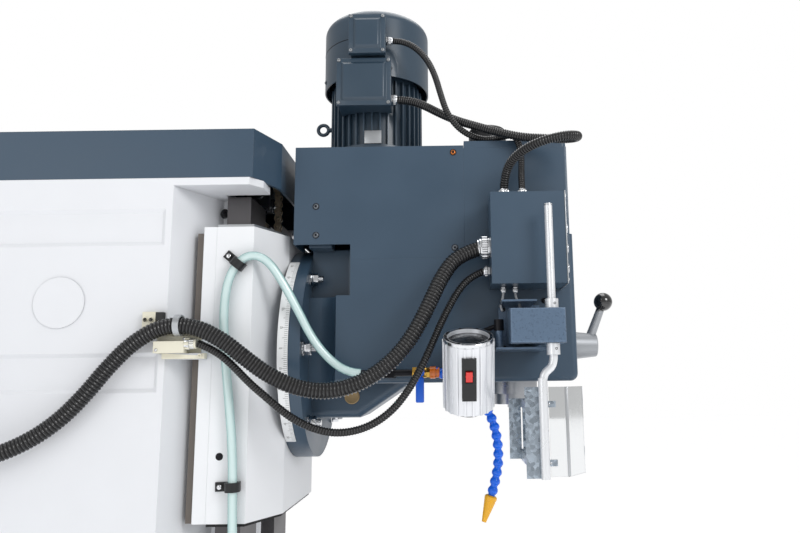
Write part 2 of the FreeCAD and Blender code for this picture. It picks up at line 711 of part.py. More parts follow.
def counterweight():
    """Chain, both sprockets on their pins, and the weight in the column."""
    front = CHAIN_Y + SPROCKET_R
    rear = front + CHAIN_SPAN * PITCH
    strips = [chain_strip(PLATE_IN, LINK_H / 2), chain_strip(-PLATE_IN - LINK_T, LINK_H / 2)]
    rollers = [rod(-PLATE_IN, y, z, ROLLER_R, 2 * PLATE_IN, AX) for y, z in chain_points()]
    save("counterweight_chain", strips + rollers)
    save("front_sprocket", sprocket(front, math.pi))
    save("rear_sprocket", sprocket(rear, 0))
    y = rear + SPROCKET_R
    weight = box(-WEIGHT_HALF, WEIGHT_HALF, y - 70, y + 70, WEIGHT_BOTTOM, WEIGHT_TOP)
    slot = box(-16, 16, y - 18, y + 18, SPROCKET_Z - PITCH * (REAR_LINKS - 1) - LINK_H / 2 - GAP, WEIGHT_TOP + 1)
    save("counterweight", weight.cut(slot))


def sprocket_mounts():
    """Cheeks and pins that carry both chain sprockets."""
    mounts = []
    for y in (CHAIN_Y + SPROCKET_R, CHAIN_Y + SPROCKET_R + CHAIN_SPAN * PITCH):
        cheek = box(14, 24, y - 26, y + 26, COL_TOP, SPROCKET_Z + 20)
        pin = rod(-28, y, SPROCKET_Z, AXLE_R, 56, AX)
        mounts.append(pin.fuse(both(cheek)))
    return mounts


def lift_screw():
    """Vertical screw between the ways and its bearings."""
    screw = rod(0, LIFT_SCREW_Y, 715, LIFT_SCREW_R, 1310)
    screw = screw.fuse(rod(0, LIFT_SCREW_Y, 650, LIFT_SCREW_R + 8, 40))
    screw = screw.fuse(rod(0, LIFT_SCREW_Y, 640, LIFT_SCREW_R, 90))
    save("lift_screw", screw)
    blocks = []
    for z in (690.5, 1990):
        block = box(-60, 60, LIFT_SCREW_Y - 20, NECK_FRONT, z, z + 36)
        blocks.append(block.cut(rod(0, LIFT_SCREW_Y, z - 1, LIFT_SCREW_R + RUN, 40)))
    save("lift_mounts", blocks, cross_bearing(), sprocket_mounts())


def lift_nut():
    """Nut of the lift screw with its arm into the slide's pocket."""
    nut = rod(0, LIFT_SCREW_Y, LIFT_NUT_Z, LIFT_NUT_R, 80)
    arm = box(-POCKET_HALF, POCKET_HALF, POCKET_FRONT, LIFT_SCREW_Y + 20, LIFT_NUT_Z, LIFT_NUT_Z + 26)
    nut = nut.fuse(arm).cut(rod(0, LIFT_SCREW_Y, LIFT_NUT_Z - 1, LIFT_SCREW_R + RUN, 90))
    slot = box(-14, 14, POCKET_FRONT + 8, CHAIN_Y + 12, LIFT_NUT_Z - 1, LIFT_NUT_Z + 90)
    return nut.cut(slot)


# ---- head slide -----------------------------------------------------------------------
def slide_outline(inset=0.0):
    """Front part of the slide's plan, with chamfered corners."""
    half = [(SLIDE_NOSE - inset, SLIDE_FRONT + inset), (SLIDE_HALF - inset, SLIDE_SIDE + inset * 0.4),
            (SLIDE_HALF - inset, SLIDE_SEAM)]
    return half + [(-x, y) for x, y in reversed(half)]


def rail_room(z0, z1, gap=GAP):
    """Space for the ways and the column's neck."""
    room = box(-RAIL_OUT - gap, RAIL_OUT + gap, RAIL_FRONT - gap, SLIDE_SEAM + 1, z0, z1)
    return room.fuse(box(-POCKET_HALF, POCKET_HALF, POCKET_FRONT, RAIL_FRONT, z0, z1))


def head_slide():
    """Slide casting, keepers, gib strips and wipers."""
    body = plan(slide_outline(), SLIDE_Z0, SLIDE_Z1)
    body = body.cut(rail_room(SLIDE_Z0 - 1, SLIDE_Z1 + 1))
    for y, z in ((609, 1500), (603, 1847)):
        hole = rod(-SLIDE_HALF - 1, y, z, 4, 16, AX)
        body = body.cut(hole).cut(mirror_x(hole))
    save("head_slide", body, lift_nut())
    keeper = plan([(KEEPER_IN, SLIDE_SEAM), (SLIDE_HALF, SLIDE_SEAM), (SLIDE_HALF, KEEPER_BACK),
                   (KEEPER_STEP, KEEPER_BACK), (KEEPER_IN, KEEPER_THIN)], SLIDE_Z0, SLIDE_Z1)
    strip = box(STRIP_IN, STRIP_OUT, KEEPER_BACK, STRIP_BACK, SLIDE_Z0, SLIDE_Z1 - 12)
    save("keeper_plates", both(keeper), both(strip))
    wipers = []
    for z in (SLIDE_Z1, SLIDE_Z0 - WIPER_T):
        plate = plan(slide_outline(5), z, z + WIPER_T)
        wipers.append(plate.cut(rail_room(z - 1, z + WIPER_T + 1)))
    save("way_wipers", wipers)


def hose_clips():
    """Two plastic clips with a screw that hold the hose on the slide."""
    clips = []
    for y, z, tilt in ((581.5, 1888, 39.5), (576, 1443, -1.5)):
        strap = box(-SLIDE_HALF - 3, -SLIDE_HALF, y - 2, y + 38, z - 9, z + 9)
        loop = ring(-275, y, z - 9, HOSE_R + 6, HOSE_R + 1.5, 18)
        bridge = box(-SLIDE_HALF - 6, -SLIDE_HALF, y - 12, y + 12, z - 9, z + 9)
        bridge = bridge.cut(rod(-275, y, z - 10, HOSE_R + 1.5, 20))
        clip = strap.fuse(loop).fuse(bridge)
        clip = clip.fuse(rod(-SLIDE_HALF - 6, y + 28, z, 4.5, 3, AX))
        clip.rotate(V(-275, y, z), AX, tilt)
        clips.append(clip)
    save("hose_clips", clips)


# ---- swivel head ----------------------------------------------------------------------
def head_casting():
    """Swivel flange, gearbox body, keel and belt deck in one casting."""
    profile = [(HEAD_FRONT, HEAD_BOTTOM), (HEAD_FRONT, HEAD_UPPER_Z), (HEAD_UPPER_FRONT, HEAD_UPPER_Z),
               (HEAD_UPPER_FRONT, HEAD_TOP), (DECK_FRONT, HEAD_TOP), (DECK_FRONT, DECK_LOW),
               (DECK_STEP, DECK_LOW), (DECK_STEP, DECK_HIGH), (FLANGE_FRONT, DECK_HIGH),
               (FLANGE_FRONT, HEAD_BOTTOM)]
    body = side(profile, HEAD_HALF)
    lower = HEAD_BOTTOM + 1
    body = soften(body, 16, lambda c, d: along_x(d) and c.z < lower and c.y < 0)
    body = soften(body, 12, lambda c, d: abs(d.y) > 0.99 and c.z < lower)
    pocket = box(POCKET_X, HEAD_HALF + 1, DECK_STEP, FLANGE_FRONT, POCKET_Z0, DECK_HIGH + 1)
    pocket = soften(pocket, 14, lambda c, d: upright(d) and c.x < POCKET_X + 1 and c.y < DECK_STEP + 1)
    waist = box(HEAD_HALF - 40, HEAD_HALF + 1, DECK_STEP + 30, FLANGE_FRONT, HEAD_BOTTOM - 1, POCKET_Z0)
    waist = soften(waist, 38, lambda c, d: upright(d) and c.x < HEAD_HALF and c.y < DECK_STEP + 31)
    body = body.cut(both(pocket) + both(waist))
    keel = side([(FLANGE_FRONT, HEAD_BOTTOM + 20), (FLANGE_FRONT, KEEL_Z), (KEEL_REAR, KEEL_Z),
                 (KEEL_FRONT, HEAD_BOTTOM + 1), (KEEL_FRONT, HEAD_BOTTOM + 20)], KEEL_HALF)
    keel = soften(keel, 18, lambda c, d: abs(d.y) > 0.5 and c.z < HEAD_BOTTOM)
    flange = rod(0, FLANGE_FRONT, TILT_Z, FLANGE_R, FLANGE_BACK - FLANGE_FRONT, AY)
    posts = both(box(130, 178, 405, 455, DECK_HIGH - 5, COVER_TOP - 20))
    body = body.fuse([keel, flange] + posts)
    pulley_room = box(-150, 150, HEAD_FRONT + 24, DECK_FRONT + 1, 1985, HEAD_TOP + 1)
    oil_room = box(-OIL_ROOM_X, OIL_ROOM_X, 75, DECK_STEP - 22, HEAD_BOTTOM + 30, DECK_LOW - 22)
    filler = box(-100, 100, 150, 340, DECK_LOW - 23, DECK_HIGH + 1)
    quill_bore = rod(0, 0, HEAD_BOTTOM - 80, SLEEVE_R, 500)
    body = body.cut([pulley_room, oil_room, filler, quill_bore])
    plug = rod(-KEEL_HALF - 1.5, PLUG_Y, PLUG_Z, PLUG_R, 1.5, AX)
    lid = box(-HEAD_HALF, HEAD_HALF, HEAD_UPPER_FRONT, LID_BACK, HEAD_TOP, LID_TOP)
    lid = soften(lid, 10, lambda c, d: upright(d) and c.y < 0)
    save("head_casting", body, both(plug), lid, head_cap())


def degree_scale():
    """Scale bands on both sides of the swivel flange's rim."""
    band = ring(0, SCALE_Y0, TILT_Z, FLANGE_R + SCALE_T, FLANGE_R, SCALE_Y1 - SCALE_Y0, AY)
    reach = 400.0
    rise = reach * math.tan(math.radians(SCALE_HALF_ANGLE))
    wedge = prism([(0, SCALE_Y0 - 1, TILT_Z), (reach, SCALE_Y0 - 1, TILT_Z - rise),
                   (reach, SCALE_Y0 - 1, TILT_Z + rise)], V(0, SCALE_Y1 - SCALE_Y0 + 2, 0))
    save("degree_scale", both(band.common(wedge)))


def fasteners():
    """Six studs with nuts that lock the swivel, and the belt cover's screws."""
    pieces = []
    for angle in (-STUD_ANGLE, 0, STUD_ANGLE, 180 - STUD_ANGLE, 180, 180 + STUD_ANGLE):
        x = STUD_CIRCLE * math.cos(math.radians(angle))
        z = TILT_Z + STUD_CIRCLE * math.sin(math.radians(angle))
        back = V(0, -1, 0)
        washer = rod(x, FLANGE_FRONT, z, 17, 4, back)
        nut = hexagon(x, FLANGE_FRONT - 4, z, 26, 16, back)
        stud = rod(x, FLANGE_FRONT - 20, z, 8, 11, back)
        pieces.append(washer.fuse([nut, stud]))
    for y, z in ((439, 2029), (438, 1964), (133, 2150), (132, 1932)):
        pieces += both(socket_screw(HEAD_HALF, y, z, 5.5, AX))
    save("head_fasteners", pieces)


def belt_cover():
    """Sheet cover over the belt drive."""
    outline = [(DECK_FRONT, DECK_LOW), (DECK_STEP, DECK_LOW), (DECK_STEP, DECK_HIGH),
               (COVER_BACK, DECK_HIGH), (COVER_BACK, COVER_TOP), (DECK_FRONT, COVER_TOP)]
    shell = side(outline, HEAD_HALF)
    hollow = box(-HEAD_HALF + WALL, HEAD_HALF - WALL, DECK_FRONT - 1, COVER_BACK - WALL,
                 DECK_LOW - 1, COVER_TOP - WALL)
    shell = shell.cut(hollow).cut(rod(0, MOTOR_Y, COVER_TOP - 10, MOTOR_R + 12, 20))
    shell = shell.cut(box(-82, 82, COVER_BACK - WALL - 1, COVER_BACK + 1, DECK_HIGH - 1, DECK_HIGH + 15))
    save("belt_cover", shell)


def motor_plate():
    """Steel plate under the cover's roof that carries the motor."""
    plate = box(-HEAD_HALF + WALL, HEAD_HALF - WALL, DECK_FRONT, COVER_BACK - WALL - 10,
                COVER_TOP - 20, COVER_TOP - WALL)
    return plate.cut(rod(0, MOTOR_Y, COVER_TOP - 30, MOTOR_PULLEY_R + 10, 40))


def head_cap():
    """Round cap on the head's lid."""
    cap = rod(0, CAP_Y, LID_TOP, CAP_R, CAP_Z - LID_TOP)
    cap = cap.makeFillet(9, [e for e in cap.Edges if e.CenterOfMass.z > CAP_Z - 1 and e.Closed])
    return cap


# ---- spindle, bearings, belt drive ----------------------------------------------------
def spindle():
    """Quill sleeve, spindle with its taper, drive keys, bearings and pulley."""
    sleeve = ring(0, 0, SLEEVE_Z, SLEEVE_R, SLEEVE_BORE, 1975 - SLEEVE_Z)
    nose = rod(0, 0, NOSE_Z, NOSE_R, NOSE_TOP - NOSE_Z)
    shaft = rod(0, 0, NOSE_TOP, SPINDLE_R, SPINDLE_TOP - NOSE_TOP)
    taper_top = TAPER_R - TAPER_DEEP * 7 / 48
    taper = cone(0, 0, NOSE_Z, TAPER_R, taper_top, TAPER_DEEP)
    hole = rod(0, 0, NOSE_Z, DRAWBAR_R, SPINDLE_TOP)
    keys = both(box(TAPER_R + 4, NOSE_R - 1, -7.9, 7.9, NOSE_Z - 9, NOSE_Z))
    rings = [ring(0, 0, z, SLEEVE_BORE, SPINDLE_R + RUN, BEARING_H) for z in BEARING_Z]
    save("quill_sleeve", sleeve, rings)
    pulley = ring(0, 0, PULLEY_Z0, SPINDLE_PULLEY_R, SPINDLE_R, PULLEY_Z1 - PULLEY_Z0)
    for z in (PULLEY_Z0 - 4, PULLEY_Z1):
        pulley = pulley.fuse(ring(0, 0, z, SPINDLE_PULLEY_R + 9, SPINDLE_R, 4))
    save("spindle", nose.fuse(shaft).cut(taper).cut(hole), keys, pulley)


def belt_outline(extra, z0, height):
    """Solid that wraps both pulleys, with its rim that far outside them."""
    r1, r2 = SPINDLE_PULLEY_R + extra, MOTOR_PULLEY_R + extra
    lean = math.asin((r1 - r2) / MOTOR_Y)
    c, s = math.cos(lean), math.sin(lean)
    band = plan([(r1 * c, r1 * s), (r2 * c, MOTOR_Y + r2 * s), (-r2 * c, MOTOR_Y + r2 * s),
                 (-r1 * c, r1 * s)], z0, z0 + height)
    return band.fuse([rod(0, 0, z0, r1, height), rod(0, MOTOR_Y, z0, r2, height)])


def belt_drive():
    """Belt round both pulleys, and the motor's shaft with its pulley."""
    z0 = (PULLEY_Z0 + PULLEY_Z1 - BELT_W) / 2
    belt = belt_outline(0.4 + BELT_T, z0, BELT_W).cut(belt_outline(0.4, z0 - 1, BELT_W + 2))
    save("drive_belt", belt)
    pulley = ring(0, MOTOR_Y, PULLEY_Z0, MOTOR_PULLEY_R, SHAFT_R, PULLEY_Z1 - PULLEY_Z0)
    for z in (PULLEY_Z0 - 4, PULLEY_Z1):
        pulley = pulley.fuse(ring(0, MOTOR_Y, z, MOTOR_PULLEY_R + 9, SHAFT_R, 4))
    shaft = rod(0, MOTOR_Y, PULLEY_Z0 - 15, SHAFT_R, 360)
    save("motor_shaft", shaft, pulley)


def motor():
    """Finned motor body, fan cowl, terminal boxes and lifting eye."""
    y = MOTOR_Y
    body = rod(0, y, MOTOR_BASE, MOTOR_R, COWL_Z - MOTOR_BASE + 20)
    fins = []
    for k in range(MOTOR_FINS):
        fin = box(MOTOR_R - 2, MOTOR_FIN_R, y - MOTOR_FIN_T / 2, y + MOTOR_FIN_T / 2,
                  MOTOR_BASE + 20, COWL_Z)
        fin.rotate(V(0, y, 0), AZ, 360 / MOTOR_FINS * k)
        fins.append(fin)
    flange = rod(0, y, COVER_TOP - WALL, MOTOR_R + 10, MOTOR_BASE + 20 - COVER_TOP + WALL)
    body = body.fuse(fins + [flange]).cut(rod(0, y, COVER_TOP - 40, SHAFT_R + RUN, 250))
    eye = Part.makeTorus(13, 4.5, V(0, y + MOTOR_R + 32, 2277), AX)
    stem = rod(0, y + MOTOR_R - 1, 2277, 6, 20, AY)
    eye = eye.fuse(stem).cut(rod(0, y, 2200, MOTOR_R, 200))
    save("motor_body", body.fuse(eye), motor_plate())
    cowl = rod(0, y, COWL_Z, COWL_R, COWL_TOP - COWL_Z)
    cowl = cowl.makeFillet(26, [e for e in cowl.Edges if e.CenterOfMass.z > COWL_TOP - 1 and e.Closed])
    inner = rod(0, y, COWL_Z - 1, COWL_R - WALL, COWL_TOP - COWL_Z - 16)
    cowl = cowl.cut(inner)
    save("motor_cowl", cowl)
    low = box(-158, -90, 278, 399, 2278, 2388).fuse(box(-166, -158, 275, 402, 2275, 2391))
    low = low.cut([rod(0, y, 2200, MOTOR_FIN_R + 0.3, 400), rod(0, y, COWL_Z - GAP, COWL_R + GAP, 60)])
    high = box(-166, -100, 290, 370, 2401, 2492).fuse(box(-178, -166, 287, 373, 2398, 2495))
    high = high.cut(rod(0, y, 2390, COWL_R + 0.3, 200))
    save("terminal_boxes", low, high)


# ---- control box, buttons, glands -----------------------------------------------------
def control_box():
    """Sheet box on the head's left side, with an aluminium front panel."""
    outer = box(-BOX_OUT, -HEAD_HALF, BOX_FRONT, BOX_BACK, BOX_Z0, BOX_Z1)
    outer = outer.cut(box(-BOX_OUT + WALL, -HEAD_HALF - WALL, BOX_FRONT - 1, BOX_BACK - WALL,
                          BOX_Z0 + WALL, BOX_Z1 - WALL))
    panel = box(-BOX_OUT + 1, -HEAD_HALF - 2, BOX_FRONT - PANEL_T, BOX_FRONT, BOX_Z0 + 2, BOX_Z1 - 2)
    collars = []
    for z in BUTTONS_Z:
        panel = panel.cut(rod(BUTTON_X, BOX_FRONT - 10, z, BUTTON_R + GAP, 20, AY))
        collars.append(ring(BUTTON_X, BOX_FRONT - PANEL_T - 5, z, BUTTON_R + 4, BUTTON_R + GAP, 5, AY))
    save("control_box", outer, panel.fuse(collars))
    for number, z in enumerate(BUTTONS_Z, 1):
        button = rod(BUTTON_X, BOX_FRONT - PANEL_T - 9, z, BUTTON_R, 26, AY)
        button = button.makeFillet(2.5, [e for e in button.Edges
                                         if e.CenterOfMass.y < BOX_FRONT - PANEL_T - 8 and e.Closed])
        save("push_button_" + str(number), button)


def gland(x, y, z, r, length, axis):
    """Cable gland: hexagon base, ribbed barrel and a bore for its conduit."""
    body = hexagon(x, y, z, r * 2.9, length * 0.4, axis)
    return body.fuse(rod(x, y, z, r * 1.3, length, axis))


def glands():
    """Every gland on the head, its motor and the limit switch."""
    down = V(0, 0, -1)
    forward = V(0, -1, 0)
    parts = [
        gland(-240, BOX_BACK, 1921, MAIN_R * 0.85, 16, AY),
        gland(-240, BOX_BACK, 1870, SMALL_R, 15, AY),
        gland(-240, 25, BOX_Z1, MOTOR_A_R * 0.9, 18, AZ),
        gland(-240, -14, BOX_Z1, MOTOR_B_R, 18, AZ),
        gland(-240, 32, BOX_Z0, 4, 13, down),
        gland(-240, 7, BOX_Z0, 4, 13, down),
        gland(-138, 278, 2297, MOTOR_A_R * 0.85, 16, forward),
        gland(-150, 290, 2440, MOTOR_B_R * 0.85, 18, forward),
    ]
    save("cable_glands", parts)


def guard():
    """Bracket and switch block on the head, and the swinging cutter guard."""
    web = box(-HEAD_HALF - 6, -HEAD_HALF, -48, 40, SWITCH_Z0 - 6, 1802)
    low = box(SWITCH_X1 - 48, -HEAD_HALF, -48, 54, SWITCH_Z0 - 10, SWITCH_Z0 - 6)
    high = box(SWITCH_X1 - 48, -HEAD_HALF, -30, 40, 1798, 1802)
    stem = box(SWITCH_X1, -HEAD_HALF - 6, -40, 10, SWITCH_Z0, SWITCH_Z1)
    bracket = web.fuse([low, high, stem])
    block = box(SWITCH_X0, SWITCH_X1, SWITCH_Y0, SWITCH_Y1, SWITCH_Z0, SWITCH_Z1)
    block = block.makeFillet(4, [e for e in block.Edges if e.CenterOfMass.x < SWITCH_X0 + 1])
    post_y = ARM_Y
    lamp_post = rod(ARM_X, post_y, SWITCH_Z0 - 6, 8, ARM_Z - GAP - SWITCH_Z0 + 6)
    bracket = bracket.fuse(lamp_post)
    save("guard_switch", block.cut(rod(GUARD_X, GUARD_Y, SWITCH_Z0 - 1, GUARD_R + RUN, 90)), bracket)
    post = rod(GUARD_X, GUARD_Y, 1700, GUARD_R, GUARD_TOP - 1700)
    collars = [rod(GUARD_X, GUARD_Y, SWITCH_Z1 + GAP, 13, 18), rod(GUARD_X, GUARD_Y, SWITCH_Z0 - GAP - 22, 13, 22)]
    crank = tube("crank", [(GUARD_X, GUARD_Y, 1700), (GUARD_X, GUARD_Y, 1682), (GUARD_X, GUARD_Y + 4, 1668),
                           (GUARD_X, TUBE_Y - 4, 1655), (GUARD_X, TUBE_Y, 1640), (GUARD_X, TUBE_Y, 1622)],
                 GUARD_R)
    leg = rod(GUARD_X, TUBE_Y, SHIELD_Z0, TUBE_R, 1646 - SHIELD_Z0)
    save("guard_post", post.fuse(collars + [crank, leg]))
    near = box(-321, -319, -30, 2, SHIELD_Z0, SHIELD_Z1)
    across = box(-320, -201, 0, 2, 1482, 1500)
    top = box(-320, -201, 0, 2, 1588, 1605)
    far = box(-203, -201, -12, 24, 1482, 1605).cut(box(-204, -200, -4, -1, 1502, 1592))
    clips = [box(-326, -321.5, TUBE_Y - 24, TUBE_Y - 5, z, z + 12) for z in (1480, 1590)]
    clips = [c.cut(rod(GUARD_X, TUBE_Y, SHIELD_Z0, TUBE_R, 200)) for c in clips]
    save("guard_frame", near.fuse([across, top, far]), clips)
    window = plan([(-321.5, TUBE_Y - 12), (-321.5, -80), (-262, -121), (-260, -118.5), (-318.5, -78.5),
                   (-318.5, TUBE_Y - 12)], SHIELD_Z0 + 3, SHIELD_Z1)
    save("guard_window", window)


# ---- lever, lamp, coolant tap ---------------------------------------------------------
def lever_ball(centre, toward):
    """Ball with a round socket for the arm, turned about the arm's line."""
    low = -math.sqrt(BALL_R ** 2 - BALL_BORE ** 2)
    edge = V(BALL_BORE, 0, low)
    arc = Part.Arc(edge, V(BALL_R, 0, 0), V(0, 0, BALL_R)).toShape()
    lines = Part.makePolygon([V(0, 0, BALL_R), V(0, 0, -BALL_SOCKET), V(BALL_BORE, 0, -BALL_SOCKET), edge])
    ball = Part.Face(Part.Wire([arc] + lines.Edges)).revolve(V(0, 0, 0), AZ, 360)
    ball.Placement = FreeCAD.Placement(centre, FreeCAD.Rotation(AZ, toward))
    return ball


def speed_lever():
    """Tapered hub with an arm and a ball on the head's front face."""
    forward = V(0, -1, 0)
    hub = cone(LEVER_X, HEAD_FRONT - GAP, LEVER_Z, 33, 26, 66, forward)
    hub = hub.makeFillet(3, [e for e in hub.Edges if e.CenterOfMass.y < HEAD_FRONT - 60 and e.Closed])
    hub = hub.fuse(rod(LEVER_X, HEAD_FRONT - GAP - 5, LEVER_Z, HUB_RING_R, 5, AY))
    root = V(LEVER_X, HEAD_FRONT - 45, LEVER_Z)
    tip = V(LEVER_X, -215, 1822)
    arm = Part.makeCone(ARM_ROOT_R, ARM_TIP_R, (tip - root).Length, root, tip - root)
    toward = (tip - root).normalize()
    arm = arm.cut(Part.makeCylinder(2 * ARM_TIP_R, 30, tip - toward * BALL_SOCKET, toward))
    save("speed_lever", hub.fuse(arm), lever_ball(tip, toward))


def lamp():
    """Ribbed lamp on a jointed arm, with its lens, end cap and rocker switch."""
    shell = ring(LAMP_X, LAMP_Y, LAMP_Z0, LAMP_R, LAMP_R - 4, LAMP_Z1 - LAMP_Z0)
    ribs = []
    for k in range(20):
        rib = box(LAMP_X - LAMP_R - 2, LAMP_X - LAMP_R + 2, LAMP_Y - 2, LAMP_Y + 2, LAMP_Z0, LAMP_Z1)
        rib.rotate(V(LAMP_X, LAMP_Y, 0), AZ, 18 * k + 9)
        ribs.append(rib)
    side_x = LAMP_X - LAMP_R
    plate = box(side_x - 6, side_x + 6, LAMP_Y - 14, LAMP_Y + 14, ROCKER_Z - 51, ROCKER_Z + 35)
    well = box(side_x - 7, side_x - 2, LAMP_Y - 7.5, LAMP_Y + 7.5, ROCKER_Z - 13, ROCKER_Z + 13)
    ear = rod(PIVOT_X, LAMP_Y - 6, PIVOT_Z, 10, 13, AY)
    ear = ear.fuse(box(LAMP_X + LAMP_R - 6, PIVOT_X, LAMP_Y - 6, LAMP_Y + 7, PIVOT_Z - 8, PIVOT_Z + 8))
    inside = rod(LAMP_X, LAMP_Y, LAMP_Z0, LAMP_R - 4, LAMP_Z1 - LAMP_Z0)
    bezel = ring(LAMP_X, LAMP_Y, LAMP_Z1, LAMP_R - 1, LAMP_R - 9, 8)
    cap = cone(LAMP_X, LAMP_Y, LAMP_Z0, LAMP_R - 2, LAMP_R - 24, 14, V(0, 0, -1))
    knob = rod(LAMP_X, LAMP_Y, LAMP_Z0 - 21, 5, 10)
    rocker = box(side_x - 9, side_x - 4, LAMP_Y - 6.5, LAMP_Y + 6.5, ROCKER_Z - 10, ROCKER_Z + 10)
    rocker = rocker.fuse(rod(side_x - 4, LAMP_Y - 7.5 + RUN, ROCKER_Z, 1.9, 15 - 2 * RUN, AY))
    parts = {
        "lamp_housing": [shell.fuse(ribs + [ear]).cut([plate, inside]), bezel],
        "lamp_lens": [rod(LAMP_X, LAMP_Y, LAMP_Z1 - 12, LAMP_R - 4, 6)],
        "lamp_fittings": [cap.fuse(knob), plate.cut(well)],
        "lamp_rocker": [rocker],
    }
    for name, shapes in parts.items():
        for shape in shapes:
            shape.rotate(V(PIVOT_X, LAMP_Y, PIVOT_Z), AY, LAMP_TILT)
        save(name, shapes)
    end = V(PIVOT_X, LAMP_Y - 20, PIVOT_Z)
    foot = V(ARM_X, ARM_Y, ARM_Z + 11)
    arm = Part.makeCylinder(5, (end - foot).Length, foot, end - foot)
    knuckle = rod(PIVOT_X, LAMP_Y - 26, PIVOT_Z, 10, 26 - 6 - GAP, AY)
    save("lamp_arm", arm.fuse([knuckle, rod(ARM_X, ARM_Y, ARM_Z, 10, 22)]))


def coolant_tap():
    """Pipe, brass tap, orange fitting, lever, beaded hose and its nozzle."""
    back = V(0, -1, 0)
    pipe = rod(TAP_X, TAP_Y + 16, TAP_Z, 7, 330 - TAP_Y - 16, AY)
    pipe = pipe.fuse(box(TAP_X - 10, -HEAD_HALF, 262, 282, TAP_Z - 10, TAP_Z + 10))
    valve = hexagon(TAP_X, TAP_Y + 16, TAP_Z, 22, 9, back)
    valve = valve.fuse([rod(TAP_X, TAP_Y + 9, TAP_Z, 11, 22, back),
                        hexagon(TAP_X, TAP_Y - 11, TAP_Z, 20, 9, back),
                        rod(TAP_X, TAP_Y, TAP_Z, 6.5, 15, V(-1, 0, 0))])
    fitting = rod(TAP_X, TAP_Y - 20, TAP_Z, 12.5, 12, back)
    fitting = fitting.fuse(rod(TAP_X, TAP_Y - 32, TAP_Z, 10.5, 8, back))
    save("coolant_pipe", pipe, valve, fitting)
    x = TAP_X - 15 - GAP
    lever = rod(x - 4, TAP_Y, TAP_Z, 8, 4, AX)
    lever = lever.fuse(box(x - 4, x, TAP_Y - 5, TAP_Y + 5, TAP_Z - 58, TAP_Z))
    save("tap_lever", lever)
    save("coolant_hose", tube("coolant_hose", BEAD_ROUTE, BEAD_R))
    tip = V(*BEAD_ROUTE[-1])
    lean = V(0, 16, -50)
    nozzle = Part.makeCylinder(12.5, 12.1, tip, lean).fuse(
        Part.makeCone(12.5, 5, 44, tip + V(lean).normalize() * 12, lean))
    nozzle = nozzle.cut(Part.makeCylinder(3, 60, tip + V(lean).normalize() * 8, lean))
    save("coolant_nozzle", nozzle)


def conduits():
    """Conduits and the coolant feed hose, each whole along its route."""
    save("main_conduit", tube("main_conduit", MAIN_ROUTE, MAIN_R))
    save("small_conduit", tube("small_conduit", SMALL_ROUTE, SMALL_R))
    save("feed_hose", tube("feed_hose", FEED_ROUTE, HOSE_R))
    save("motor_conduit_a", tube("motor_conduit_a", MOTOR_A_ROUTE, MOTOR_A_R))
    save("motor_conduit_b", tube("motor_conduit_b", MOTOR_B_ROUTE, MOTOR_B_R))
    save("guard_cables", tube("wire_a", WIRE_A, THIN_R), tube("wire_b", WIRE_B, THIN_R))


def limit_switch():
    """Limit switch on the column's shoulder, its bar, block, gland and strap."""
    rise = (COL_FRONT - NECK_BACK) / (COL_HALF - NECK_HALF)
    inner = 264.0
    shoulder = plan([(-301, 640), (-301, COL_FRONT), (-COL_HALF, COL_FRONT),
                     (-inner, COL_FRONT - (COL_HALF - inner) * rise), (-inner, 640)], 1693, 1768)
    body = box(-313, -301, 664, 724, 1704, 1738).fuse(box(-330, -301, 664, 724, 1704, 1727))
    bar = box(-316, -301, 628, 712, 1693, 1703.9).fuse(socket_screw(-316, 636, 1698.5, 4, V(-1, 0, 0)))
    stop = box(-312, -COL_HALF, 730, 756, 1754, 1787)
    for y in (737, 749):
        stop = stop.fuse(socket_screw(-312, y, 1771, 4, V(-1, 0, 0)))
    pad = box(-312, -COL_HALF, 715, 729.9, 1770, 1786)
    nut = gland(-320, 664, 1722, SMALL_R * 0.95, 22, V(0, -1, 0))
    strap = ring(-331, 669, 1757.3, MAIN_R + 4.5, MAIN_R + 1.2, 12, AY)
    strap = strap.fuse(box(-313, -301, 669, 681, 1748, 1766))
    save("limit_switch", shoulder, body, bar, stop, pad, nut, strap)


